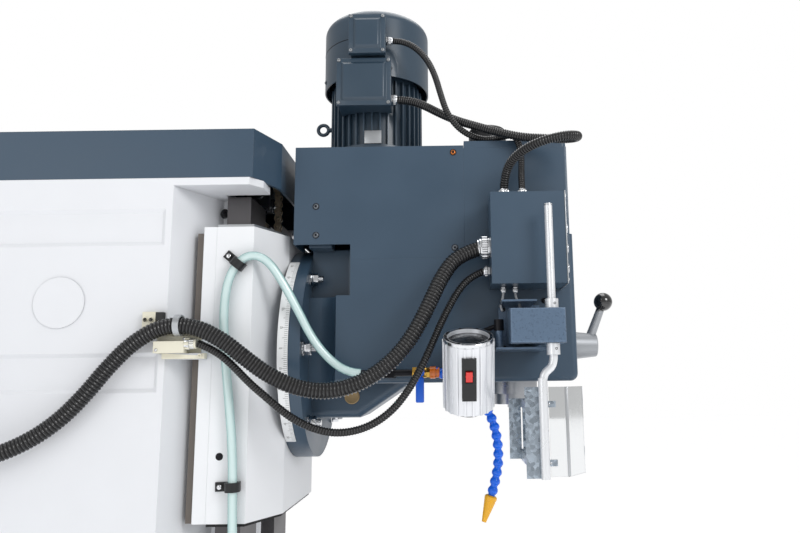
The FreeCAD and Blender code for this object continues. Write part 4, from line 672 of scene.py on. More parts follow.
    def button(self, at: Point, axis: Point, r: float, finish: Finish = CHROME) -> "Piece":
        """Adds a button-head screw on a dark washer, with a flat dark hexagon on its head as painted shade
        for its socket.

        Args:
            at: centre of its seat.
            axis: direction that it stands in.
            r: radius of its washer.
            finish: finish of its head.

        Returns:
            This piece.
        """
        self.turned(at, axis, [(r, 0), (r, 0.5), (r * 0.86, 0.7)], BLACK_OXIDE, 28)
        self.turned(at, axis, [(r * 0.84, 0.6), (r * 0.8, 1.6), (r * 0.62, 2.7), (r * 0.42, 3.1)], finish, 28)
        # Painted shade: a thin black hexagon stands for the dark of the socket's recess.
        tip = Vector(at) + Vector(axis).normalized() * 3.0
        return self.hexagon(tuple(tip), axis, r * 0.66, 0.3, BLACK_OXIDE)

    def knurl(self, at: Point, axis: Point, r: float, teeth: int, height: float, finish: Finish) -> "Piece":
        """Adds a ring with straight ribs round its rim.

        Args:
            at: centre of its seat.
            axis: direction that it stands in.
            r: radius over its ribs.
            teeth: how many ribs it has.
            height: how far it stands.
            finish: the ring's finish.

        Returns:
            This piece.
        """
        turn = Vector(axis).to_track_quat("Z", "X").to_matrix()
        outline = []
        for k in range(4 * teeth):
            radius = r if k % 4 < 2 else r * 0.93
            angle = math.pi * (k + 0.5) / (2 * teeth)
            outline.append((radius * math.cos(angle), radius * math.sin(angle)))
        return self.cut(outline, at, turn.col[0], turn.col[1], height, finish)

    def frustum(self, low: list[Point], high: list[Point], finish: Finish, edge: float = 1.0) -> "Piece":
        """Adds a solid between two outlines.

        Args:
            low: corners of the first outline.
            high: corners of the second outline.
            finish: the solid's finish.
            edge: radius of its edges.

        Returns:
            This piece.
        """
        return self.slab([Vector(p) for p in low], [Vector(p) for p in high], finish, edge)

    def stand(self, body: str, *nodes: str, angle: float = 35.0) -> bpy.types.Object:
        """Shapes the piece, rides it on a body and lets it replace CAD nodes.

        Args:
            body: the body that it moves with.
            nodes: the CAD nodes that it stands for.
            angle: turn between faces that stays sharp, in degrees.

        Returns:
            The finished object.
        """
        made = self.shape(angle)
        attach(made, body)
        for node in nodes:
            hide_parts(node)
        return made

    def shape(self, angle: float = 35.0) -> bpy.types.Object:
        """Writes the mesh and paints it.

        Args:
            angle: turn between faces that stays sharp, in degrees.

        Returns:
            The finished object.
        """
        bmesh.ops.recalc_face_normals(self.mesh, faces=self.mesh.faces)
        name = self.name.replace(" ", "_")
        mesh = bpy.data.meshes.new(name)
        self.mesh.to_mesh(mesh)
        self.mesh.free()
        made = bpy.data.objects.new(name, mesh)
        bpy.context.scene.collection.objects.link(made)
        for finish in self.finishes:
            mesh.materials.append(self.shop.material(finish))
        smooth(mesh, angle)
        LOG.info("made %s", name)
        return made


def smooth(mesh: bpy.types.Mesh, angle: float) -> None:
    """Shades a mesh smooth, apart from its sharp edges.

    Args:
        mesh: the mesh to shade.
        angle: turn between faces that stays sharp, in degrees.
    """
    mesh.polygons.foreach_set("use_smooth", [True] * len(mesh.polygons))
    mesh.set_sharp_from_angle(angle=math.radians(angle))
    mesh.update()


# ---- routes -----------------------------------------------------------------------------
MAIN_ROUTE = [
    (-370, 1126.5, 1500), (-366, 1062, 1500), (-350, 1000, 1516), (-338, 944, 1542),
    (-331, 893, 1580), (-330, 848, 1628), (-330, 808, 1680), (-330, 762, 1727),
    (-331, 706, 1758), (-331, 644, 1756), (-330, 590, 1729), (-330, 546, 1694),
    (-330, 500, 1660), (-330, 448, 1635), (-329, 392, 1625), (-327, 336, 1634),
    (-322, 285, 1661), (-314, 242, 1700), (-303, 210, 1748), (-290, 184, 1802),
    (-274, 160, 1856), (-256, 126, 1904), (-240, 74, 1921),
]
SMALL_ROUTE = [
    (-320, 639, 1722), (-323, 604, 1708), (-325, 568, 1678), (-325, 536, 1645),
    (-325, 500, 1615), (-325, 462, 1583), (-325, 421, 1560), (-322, 379, 1547),
    (-318, 336, 1548), (-312, 294, 1562), (-305, 256, 1590), (-297, 226, 1629),
    (-289, 203, 1670), (-279, 182, 1716), (-266, 160, 1768), (-252, 127, 1830),
    (-243, 98, 1860), (-240, 73, 1870),
]
FEED_ROUTE = [
    (-395, 715, 521), (-394, 712, 566), (-378, 696, 628), (-348, 664, 705), (-316, 628, 800),
    (-292, 598, 912), (-279, 581, 1035), (-275, 573, 1160), (-275, 570, 1290),
    (-275, 575, 1400), (-275, 578, 1510), (-275, 590, 1615), (-275, 602, 1712),
    (-275, 608, 1800), (-275, 598, 1868), (-275, 565, 1908), (-271, 524, 1900),
    (-263, 490, 1850), (-252, 460, 1792), (-242, 432, 1734), (-235, 396, 1689),
    (-231, 357, 1663), (-230, 331.4, 1661.5),
]
MOTOR_A_ROUTE = [
    (-138, 262, 2297), (-141, 236, 2295), (-150, 200, 2279), (-161, 163, 2254),
    (-173, 126, 2232), (-188, 85, 2213), (-205, 38, 2192), (-222, -16, 2172),
    (-232, -68, 2165), (-244, -106, 2158), (-272, -130, 2151), (-306, -128, 2144),
    (-328, -98, 2137), (-324, -58, 2130), (-304, -20, 2120), (-272, 10, 2104),
    (-247, 23, 2078), (-240, 25, 2048),
]
MOTOR_B_ROUTE = [
    (-150, 272, 2440), (-153, 250, 2438), (-162, 218, 2418), (-172, 190, 2382),
    (-182, 172, 2338), (-190, 160, 2290), (-194, 147, 2244), (-190, 124, 2210),
    (-178, 92, 2191), (-166, 56, 2186), (-172, 22, 2190), (-196, -4, 2189),
    (-205, -14, 2164), (-214, -18, 2128), (-218, -16, 2096), (-234, -14, 2072),
    (-240, -14, 2048),
]
BEAD_ROUTE = [
    (-230, 168, 1661), (-228, 152, 1655), (-216, 136, 1636), (-196, 122, 1620),
    (-166, 106, 1610), (-136, 86, 1602), (-112, 64, 1580), (-102, 48, 1540),
    (-100, 41, 1490), (-100, 45, 1440), (-100, 60, 1392),
]
WIRE_A = [(-240, 32, 1824), (-240, 33, 1814), (-243, 37, 1803), (-250, 39, 1793), (-256, 36, 1784)]
WIRE_B = [(-240, 7, 1824), (-240, 6, 1815), (-243, 2, 1804), (-250, -2, 1793), (-256, -2, 1784)]


def centreline(name: str, route: list[Point], step: float = 2.0) -> list[Vector]:
    """Reads the smooth line of a route.

    Args:
        name: name of the curve while it is read.
        route: control points in mm.
        step: spacing of the result in mm.

    Returns:
        Points in metres, evenly spaced along the route's quadratic NURBS curve.
    """
    data = bpy.data.curves.new(name, "CURVE")
    data.dimensions = "3D"
    data.resolution_u = 16
    spline = data.splines.new("NURBS")
    spline.points.add(len(route) - 1)
    for point, place in zip(spline.points, route):
        point.co = tuple(c * MM for c in place) + (1.0,)
    spline.order_u = 3
    spline.use_endpoint_u = True
    holder = bpy.data.objects.new(name, data)
    bpy.context.scene.collection.objects.link(holder)
    bpy.context.view_layer.update()
    seen = holder.evaluated_get(bpy.context.evaluated_depsgraph_get())
    dense = [v.co.copy() for v in seen.to_mesh().vertices]
    seen.to_mesh_clear()
    bpy.data.objects.remove(holder)
    bpy.data.curves.remove(data)
    return even(dense, step * MM)


def even(line: list[Vector], step: float) -> list[Vector]:
    """Resamples a line, with its ends kept.

    Args:
        line: points along the line.
        step: wanted spacing.

    Returns:
        Points at even steps near the wanted spacing.
    """
    total = length_of(line)
    count = max(2, round(total / step))
    places, walked, k = [line[0]], 0.0, 0
    for n in range(1, count):
        target = total * n / count
        while walked + (line[k + 1] - line[k]).length < target:
            walked += (line[k + 1] - line[k]).length
            k += 1
        run = (line[k + 1] - line[k]).length
        places.append(line[k].lerp(line[k + 1], (target - walked) / run))
    return places + [line[-1]]


def length_of(line: list[Vector]) -> float:
    """Measures a line.

    Args:
        line: points along the line.

    Returns:
        Its length in the points' own unit.
    """
    return sum((b - a).length for a, b in zip(line, line[1:]))


@dataclass
class PathWork:
    """Geometry Nodes that sweep a ribbed tube, or lay copies, along a line of points."""

    shop: Paintshop
    rings_per_rib: int = 6
    plain_step: float = 3.0

    def tube(self, name: str, line: list[Vector], radius: float, finish: Finish, rib: float = 0.0,
             pitch: float = 4.0, sides: int = 20) -> bpy.types.Object:
        """Sweeps a tube along a line.

        Args:
            name: the piece's name.
            line: points in metres that the tube follows.
            radius: outer radius in mm.
            finish: the tube's finish.
            rib: depth of its ribs in mm, or 0 for a plain tube.
            pitch: spacing of its ribs in mm.
            sides: flats round the tube.

        Returns:
            The swept mesh's object.
        """
        step = pitch / self.rings_per_rib if rib else self.plain_step
        group = bpy.data.node_groups.get("ribbed tube") or self._tube_group()
        return self._evaluate(name, self._curve(name, line), group, {
            "Radius": radius * MM, "Rib Depth": rib / radius, "Step": step * MM, "Sides": sides,
            "Material": self.shop.material(finish)})

    def copies(self, name: str, line: list[Vector], item: bpy.types.Object, spacing: float,
               finish: Finish) -> bpy.types.Object:
        """Lays copies of an item along a line, its Z along the line.

        Args:
            name: the piece's name.
            line: points in metres that the copies follow.
            item: the object to copy.
            spacing: distance between copies in mm.
            finish: the copies' finish.

        Returns:
            The object of all copies.
        """
        group = bpy.data.node_groups.get("copies on a path") or self._copies_group()
        return self._evaluate(name, self._curve(name, line), group, {
            "Spacing": spacing * MM, "Item": item, "Material": self.shop.material(finish)})

    def _curve(self, name: str, line: list[Vector]) -> bpy.types.Object:
        """Makes the curve that a tree starts from.

        Args:
            name: the piece's name.
            line: points in metres.

        Returns:
            A scratch object that holds the curve.
        """
        data = bpy.data.curves.new(name + " line", "CURVE")
        data.dimensions = "3D"
        spline = data.splines.new("POLY")
        spline.points.add(len(line) - 1)
        for point, place in zip(spline.points, line):
            point.co = tuple(place) + (1.0,)
        holder = bpy.data.objects.new(name + " line", data)
        bpy.context.scene.collection.objects.link(holder)
        return holder

    def _evaluate(self, name: str, holder: bpy.types.Object, group: Tree, values: dict) -> bpy.types.Object:
        """Runs a tree on a curve and keeps its result as a plain mesh.

        Args:
            name: the piece's name.
            holder: the curve's scratch object, which is removed.
            group: the tree to run.
            values: value of each of the tree's inputs, by name.

        Returns:
            The result's object.
        """
        work = holder.modifiers.new("path", "NODES")
        work.node_group = group
        for item in group.interface.items_tree:
            if item.item_type == "SOCKET" and item.in_out == "INPUT" and item.name in values:
                work[item.identifier] = values[item.name]
        bpy.context.view_layer.update()
        seen = holder.evaluated_get(bpy.context.evaluated_depsgraph_get())
        mesh = bpy.data.meshes.new_from_object(seen)
        name = name.replace(" ", "_")
        mesh.name = name
        holder.modifiers.clear()
        bpy.data.objects.remove(holder)
        made = bpy.data.objects.new(name, mesh)
        bpy.context.scene.collection.objects.link(made)
        LOG.info("made %s", name)
        return made

    def _group(self, name: str, sockets: dict[str, str]) -> tuple[Tree, bpy.types.bpy_prop_collection]:
        """Starts a tree.

        Args:
            name: the tree's name.
            sockets: kind of each named input.

        Returns:
            The tree, and the sockets that its inputs come from.
        """
        group = bpy.data.node_groups.new(name, "GeometryNodeTree")
        group.interface.new_socket("Geometry", in_out="INPUT", socket_type="NodeSocketGeometry")
        for label, kind in sockets.items():
            group.interface.new_socket(label, in_out="INPUT", socket_type="NodeSocket" + kind)
        group.interface.new_socket("Geometry", in_out="OUTPUT", socket_type="NodeSocketGeometry")
        return group, add_node(group, "NodeGroupInput").outputs

    def _close(self, group: Tree, geometry: Socket, material: Socket) -> None:
        """Ends a tree with real geometry in its material.

        Args:
            group: the tree.
            geometry: what the tree made.
            material: the material's input.
        """
        real = add_node(group, "GeometryNodeRealizeInstances", {"Geometry": geometry})
        paint = add_node(group, "GeometryNodeSetMaterial", {
            "Geometry": real.outputs[0], "Material": material})
        out = add_node(group, "NodeGroupOutput")
        group.links.new(paint.outputs[0], out.inputs[0])

    def _tube_group(self) -> Tree:
        """Builds the tree that sweeps a tube, with a cosine for its ribs."""
        group, source = self._group("ribbed tube", {
            "Radius": "Float", "Rib Depth": "Float", "Step": "Float", "Sides": "Int", "Material": "Material"})
        rings = add_node(group, "GeometryNodeResampleCurve", {
            "Curve": source["Geometry"], "Length": source["Step"]}, mode="LENGTH")
        index = add_node(group, "GeometryNodeInputIndex")
        phase = add_node(group, "ShaderNodeMath", {
            0: index.outputs[0], 1: 2 * math.pi / self.rings_per_rib}, operation="MULTIPLY")
        wave = add_node(group, "ShaderNodeMath", {0: phase.outputs[0]}, operation="COSINE")
        half = add_node(group, "ShaderNodeMath", {0: wave.outputs[0], 1: 0.5, 2: -0.5},
                        operation="MULTIPLY_ADD")
        dent = add_node(group, "ShaderNodeMath", {0: half.outputs[0], 1: source["Rib Depth"], 2: 1.0},
                        operation="MULTIPLY_ADD")
        ring = add_node(group, "GeometryNodeCurvePrimitiveCircle", {
            "Resolution": source["Sides"], "Radius": source["Radius"]})
        # How deep each ring sits in a valley, stored for the painted shade there.
        deep = add_node(group, "ShaderNodeMath", {0: half.outputs[0], 1: -1.0}, operation="MULTIPLY")
        noted = add_node(group, "GeometryNodeStoreNamedAttribute", {
            "Geometry": rings.outputs[0], "Name": "groove", "Value": deep.outputs[0]}, data_type="FLOAT",
            domain="POINT")
        swept = add_node(group, "GeometryNodeCurveToMesh", {
            "Curve": noted.outputs[0], "Profile Curve": ring.outputs[0], "Scale": dent.outputs[0],
            "Fill Caps": True})
        shade = add_node(group, "GeometryNodeSetShadeSmooth", {"Geometry": swept.outputs[0]})
        self._close(group, shade.outputs[0], source["Material"])
        return group

    def _copies_group(self) -> Tree:
        """Builds the tree that lays an item at each step along a curve."""
        group, source = self._group("copies on a path", {
            "Spacing": "Float", "Item": "Object", "Material": "Material"})
        points = add_node(group, "GeometryNodeCurveToPoints", {
            "Curve": source["Geometry"], "Length": source["Spacing"]}, mode="LENGTH")
        turn = add_node(group, "FunctionNodeAlignRotationToVector", {"Vector": points.outputs["Tangent"]},
                        axis="Z", pivot_axis="X")
        item = add_node(group, "GeometryNodeObjectInfo", {"Object": source["Item"]})
        laid = add_node(group, "GeometryNodeInstanceOnPoints", {
            "Points": points.outputs["Points"], "Instance": item.outputs["Geometry"],
            "Rotation": turn.outputs[0]})
        self._close(group, laid.outputs[0], source["Material"])
        return group


# ---- sub-assemblies -----------------------------------------------------------------------
@dataclass(frozen=True)
class Cord:
    """A cord's route and section, in mm.

    Args:
        name: name of its piece or pieces.
        node: the CAD node that it stands for.
        route: control points of its centreline.
        radius: outer radius.
        finish: its finish.
        rib: depth of its ribs.
        pitch: spacing of its ribs.
        split: where it is parted between two bodies, if it crosses any.
        stiffness: how stiff it is; not used.
        step: spacing of the points that its tube follows.
        sides: flats round its tube.
    """

    name: str
    node: str
    route: list[Point]
    radius: float
    finish: Finish
    rib: float = 0.0
    pitch: float = 4.0
    split: Point | None = None
    stiffness: str = "medium"
    step: float = 2.0
    sides: int = 20


CORDS = [
    Cord("main conduit", "main_conduit", MAIN_ROUTE, 16.5, CONDUIT, 2.4, 7.0, (-330, 546, 1694), "stiff"),
    Cord("small conduit", "small_conduit", SMALL_ROUTE, 8.0, CONDUIT, 1.3, 5.4, (-325, 500, 1615)),
    Cord("feed hose", "feed_hose", FEED_ROUTE, 9.0, GREEN_HOSE, split=(-275, 575, 1400)),
    Cord("motor conduit a", "motor_conduit_a", MOTOR_A_ROUTE, 10.0, CONDUIT, 1.7, 5.4),
    Cord("motor conduit b", "motor_conduit_b", MOTOR_B_ROUTE, 7.5, CONDUIT, 1.275, 5.4),
    Cord("guard lead a", "guard_cables", WIRE_A, 2.5, GREY_LEAD, step=1.0, sides=12),
    Cord("guard lead b", "guard_cables", WIRE_B, 2.5, GREY_LEAD, step=1.0, sides=12),
]


@dataclass
class Conduits:
    """Corrugated conduits, the clear feed hose, thin leads and the bead hose."""

    shop: Paintshop
    work: PathWork
    bead_pitch: float = 18.9
    bead_core: float = 6.8

    def build(self) -> None:
        for cord in CORDS:
            if cord.split:
                self.crossing(cord)
            else:
                self.held(cord)
        self.beads()

    def held(self, cord: Cord) -> None:
        """Lays a cord that the head holds all the way.

        Args:
            cord: the cord to lay.
        """
        line = centreline(cord.name, cord.route, cord.step)
        made = self.work.tube(cord.name, line, cord.radius, cord.finish, cord.rib, cord.pitch, cord.sides)
        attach(made, "head")
        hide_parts(cord.node)

    def crossing(self, cord: Cord) -> None:
        """Lays a cord as two pieces, from the machine to the slide and from there to the head, both fixed
        where they lie.

        Args:
            cord: the cord to lay.
        """
        line = centreline(cord.name, cord.route, cord.step)
        target = Vector(cord.split) * MM
        middle = min(range(len(line)), key=lambda k: (line[k] - target).length)
        halves = ((line[:middle + 1], "machine", "head_slide"), (line[middle:], "head_slide", "head"))
        for number, (part, first, second) in enumerate(halves, 1):
            made = self.work.tube(f"{cord.name} {number}", part, cord.radius, cord.finish, cord.rib,
                                  cord.pitch)
            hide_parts(cord.node)
            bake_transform(made)

    def beads(self) -> None:
        """Strings the blue beads from the tap to the nozzle."""
        line = centreline("bead hose", BEAD_ROUTE, 1.0)
        bead = Piece("bead", self.shop)
        bead.turned((0, 0, 0), (0, 0, 1), [
            (5.4, -9.0), (8.3, -9.4), (9.2, -8.6), (9.2, -6.6), (7.9, -4.8), (7.4, -3.2), (8.8, 0.0),
            (10.6, 3.0), (11.4, 6.2), (11.2, 9.4), (9.9, 12.2), (8.0, 13.4), (5.4, 13.0)], BLUE_BEAD, 32)
        item = bead.stand("head")
        made = self.work.copies("bead hose", line, item, self.bead_pitch, BLUE_BEAD)
        core = self.work.tube("bead core", line, self.bead_core, BLUE_BEAD)
        bpy.data.objects.remove(item)
        for piece in (made, core):
            smooth(piece.data, 50)
            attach(piece, "head")
            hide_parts("coolant_hose")


@dataclass
class Chain:
    """Counterweight chain of figure-eight links and rollers."""

    shop: Paintshop
    pitch: float = 19.05
    teeth: int = 14
    front_links: int = 34
    top_links: int = 14
    rear_links: int = 59
    lobe: float = 8.4
    waist: float = 5.4
    plate: float = 2.2
    front_y: float = 570.0
    axle_z: float = 2104.0

    @property
    def radius(self) -> float:
        """Pitch radius of both sprockets."""
        return self.pitch / 2 / math.sin(math.pi / self.teeth)

    def line(self) -> list[Vector]:
        """Roller centres in mm, from the slide over both sprockets to the weight."""
        r, front = self.radius, self.front_y + self.radius
        rear = front + self.top_links * self.pitch
        turn = 2 * math.pi / self.teeth
        points = [(self.front_y, self.axle_z - self.pitch * k) for k in range(self.front_links, 0, -1)]
        points += [(front - r * math.cos(turn * k), self.axle_z + r * math.sin(turn * k)) for k in range(4)]
        points += [(front + (k + 0.5) * self.pitch, self.axle_z + r) for k in range(self.top_links)]
        points += [(rear + r * math.cos(turn * k), self.axle_z + r * math.sin(turn * k))
                   for k in (3, 2, 1, 0)]
        points += [(rear + r, self.axle_z - self.pitch * k) for k in range(1, self.rear_links + 1)]
        return [Vector((0, y, z)) for y, z in points]

    def build(self) -> None:
        """Builds the hanging strands, fixed where they hang, and the run on top, which rides on the machine.
        """
        places = self.line()
        first, last = self.front_links, len(places) - self.rear_links - 1
        front = self.strand("chain front", places[:first + 1])
        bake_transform(front)
        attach(self.strand("chain top", places[first:last + 1]), "machine")
        rear = self.strand("chain rear", places[last:])
        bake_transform(rear)

    def strand(self, name: str, places: list[Vector]) -> bpy.types.Object:
        """Places a pair of plates on each pitch, and a pin and roller at each joint.

        Args:
            name: the strand's name.
            places: its roller centres.

        Returns:
            The strand's object.
        """
        chain = Piece(name, self.shop)
        side = Vector((1, 0, 0))
        for k, (a, b) in enumerate(zip(places, places[1:])):
            offset = 8.7 if k % 2 else 6.3
            along = (b - a).normalized()
            for x in (offset, -offset - self.plate):
                chain.cut(self.outline(), a + side * x, along, side.cross(along) * -1, -self.plate,
                          CHAIN_STEEL)
        for p in places:
            chain.turned(tuple(p - side * 11.6), (1, 0, 0),
                         [(2.2, 0), (3.0, 0.4), (3.0, 22.8), (2.2, 23.2)], CHAIN_STEEL, 12)
            chain.turned(tuple(p - side * 6), (1, 0, 0), [(5.8, 0), (5.8, 12)], BLACK_OXIDE, 16)
        made = chain.shape()
        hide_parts("counterweight_chain")
        return made

    def outline(self) -> list[Pair]:
        """Figure-eight outline of one link plate."""
        right = [(self.pitch + self.lobe * math.cos(math.radians(a)), self.lobe * math.sin(math.radians(a)))
                 for a in range(-120, 121, 30)]
        left = [(self.lobe * math.cos(math.radians(a)), self.lobe * math.sin(math.radians(a)))
                for a in range(60, 301, 30)]
        return right + [(self.pitch / 2, self.waist)] + left + [(self.pitch / 2, -self.waist)]


@dataclass
class Swivel:
    """Degree tape with its ticks and numbers, and the nuts that lock the swivel."""

    shop: Paintshop
    centre_z: float = 1715.0
    radius: float = 243.6
    bolt_circle: float = 215.0
    tick: float = 0.64
    ink: float = 0.22
    digit: float = 2.2
    digit_pitch: float = 3.6
    stroke: float = 0.25

    def build(self) -> None:
        """Draws the ticks and numbers and turns the nuts and screws."""
        self.ticks()
        self.numbers()
        self.nuts()

    def rim(self, side: int, degree: float) -> tuple[Vector, Vector]:
        """Finds the directions at a degree of one tape.

        Args:
            side: -1 or 1, for the tape's side.
            degree: degrees up from level.

        Returns:
            The directions outwards and along the rim.
        """
        angle = math.radians(degree)
        out = Vector((side * math.cos(angle), 0, math.sin(angle)))
        return out, Vector((-side * math.sin(angle), 0, math.cos(angle)))

    def ticks(self) -> None:
        """Lays a black line at each degree of both tapes."""
        marks = Piece("degree marks", self.shop)
        for side in (-1, 1):
            for degree in range(-53, 54):
                length = 16.0 if degree % 10 == 0 else 11.0 if degree % 5 == 0 else 7.0
                out, along = self.rim(side, degree)
                at = Vector((0, 483.0, self.centre_z)) + out * (self.radius - 0.1) - along * self.tick / 2
                outline = [(0, 0), (length, 0), (length, self.tick), (0, self.tick)]
                marks.cut(outline, at, (0, 1, 0), along, self.ink, INK)
        marks.stand("head", angle=30)

    def numbers(self) -> None:
        """Draws the degree numbers in straight strokes beside every tenth line."""
        strokes = {"0": "abcdef", "1": "bc", "2": "abged", "3": "abgcd", "4": "fgbc", "5": "afgcd"}
        lines = {"a": (0, 2, 1, 2), "b": (1, 1, 1, 2), "c": (1, 0, 1, 1), "d": (0, 0, 1, 0),
                 "e": (0, 0, 0, 1), "f": (0, 1, 0, 2), "g": (0, 1, 1, 1)}
        marks = Piece("degree numbers", self.shop)
        for side in (-1, 1):
            for degree in range(-50, 51, 10):
                out, along = self.rim(side, degree)
                at = Vector((0, 499.0, self.centre_z)) + out * (self.radius - 0.1)
                label = str(abs(degree))
                for place, digit in enumerate(label):
                    shift = (place - len(label) / 2) * self.digit_pitch
                    for stroke in strokes[digit]:
                        u0, v0, u1, v1 = (self.digit * c for c in lines[stroke])
                        left, right = -v1 - self.stroke, -v0 + self.stroke
                        low, high = u0 + shift - self.stroke, u1 + shift + self.stroke
                        outline = [(left, low), (right, low), (right, high), (left, high)]
                        marks.cut(outline, at, (0, 1, 0), along, self.ink, INK)
        marks.stand("head", angle=30)

    def nuts(self) -> None:
        """Turns each washer, nut and stud on the flange, and the cover's screws."""
        nuts = Piece("swivel nuts", self.shop)
        back = (0, -1, 0)
        for angle in (-47, 0, 47, 133, 180, 227):
            x = self.bolt_circle * math.cos(math.radians(angle))
            z = self.centre_z + self.bolt_circle * math.sin(math.radians(angle))
            nuts.turned((x, 457, z), back, [(15, 0), (16.8, 0.4), (16.8, 3.4), (16.2, 4)], CHROME)
            nuts.hexagon((x, 453, z), back, 25.6, 15.6, CHROME)
            nuts.turned((x, 437.2, z), back, [(7.6, 0), (7.6, 8.6), (6.6, 10)], CHROME, 28)
            for k in range(5):
                nuts.turned((x, 436.6 - 1.7 * k, z), back, [(7.9, 0.2), (8.0, 0.5), (7.9, 0.8)], GROUND, 28)
        for y, z, finish in ((439, 2029, DULL_SCREW), (438, 1964, DULL_SCREW), (133, 2150, COPPER),
                             (132, 1932, DULL_SCREW)):
            for side in (-1, 1):
                nuts.button((side * 190, y, z), (side, 0, 0), 7.4, finish)
        nuts.stand("head", "head_fasteners")


@dataclass
class Lamp:
    """Bezel ring of the lamp with its bolts, and the boss under its glass."""

    shop: Paintshop
    pivot: Point = (-258, 109, 1738)
    centre: Point = (-320, 109, 1747.6)
    tilt: float = -24.0
    bolt_circle: float = 45.0
    bolts: int = 8

    def build(self) -> None:
        """Turns the bezel, its bolts and the boss."""
        pivot = Vector(self.pivot)
        lean = Matrix.Rotation(math.radians(self.tilt), 4, "Y")
        frame = Matrix.Translation(pivot) @ lean @ Matrix.Translation(-pivot)
        axis = tuple(frame.to_3x3() @ Vector((0, 0, 1)))
        centre = Vector(self.centre)
        up = Vector((0, 0, 1))
        parts = Piece("lamp bezel bolts", self.shop)
        ring = [(41.2, 0), (49.6, 0), (49.6, 7), (48.6, 8.4), (42, 8.4), (41.2, 7.6), (41.2, 0)]
        parts.turned(tuple(frame @ centre), axis, ring, CHROME, 56)
        for k in range(self.bolts):
            out = spoke(360 / self.bolts * k + 20, self.bolt_circle)
            parts.cap_screw(tuple(frame @ (centre + out + up * 8.4)), axis, 2.4)
        boss = [(10, 0), (12, 0.6), (12, 1.8), (8, 2.6), (3, 2.8)]
        parts.turned(tuple(frame @ (centre - up * 5.4)), axis, boss, BLACK_PLASTIC)
        parts.stand("lamp")


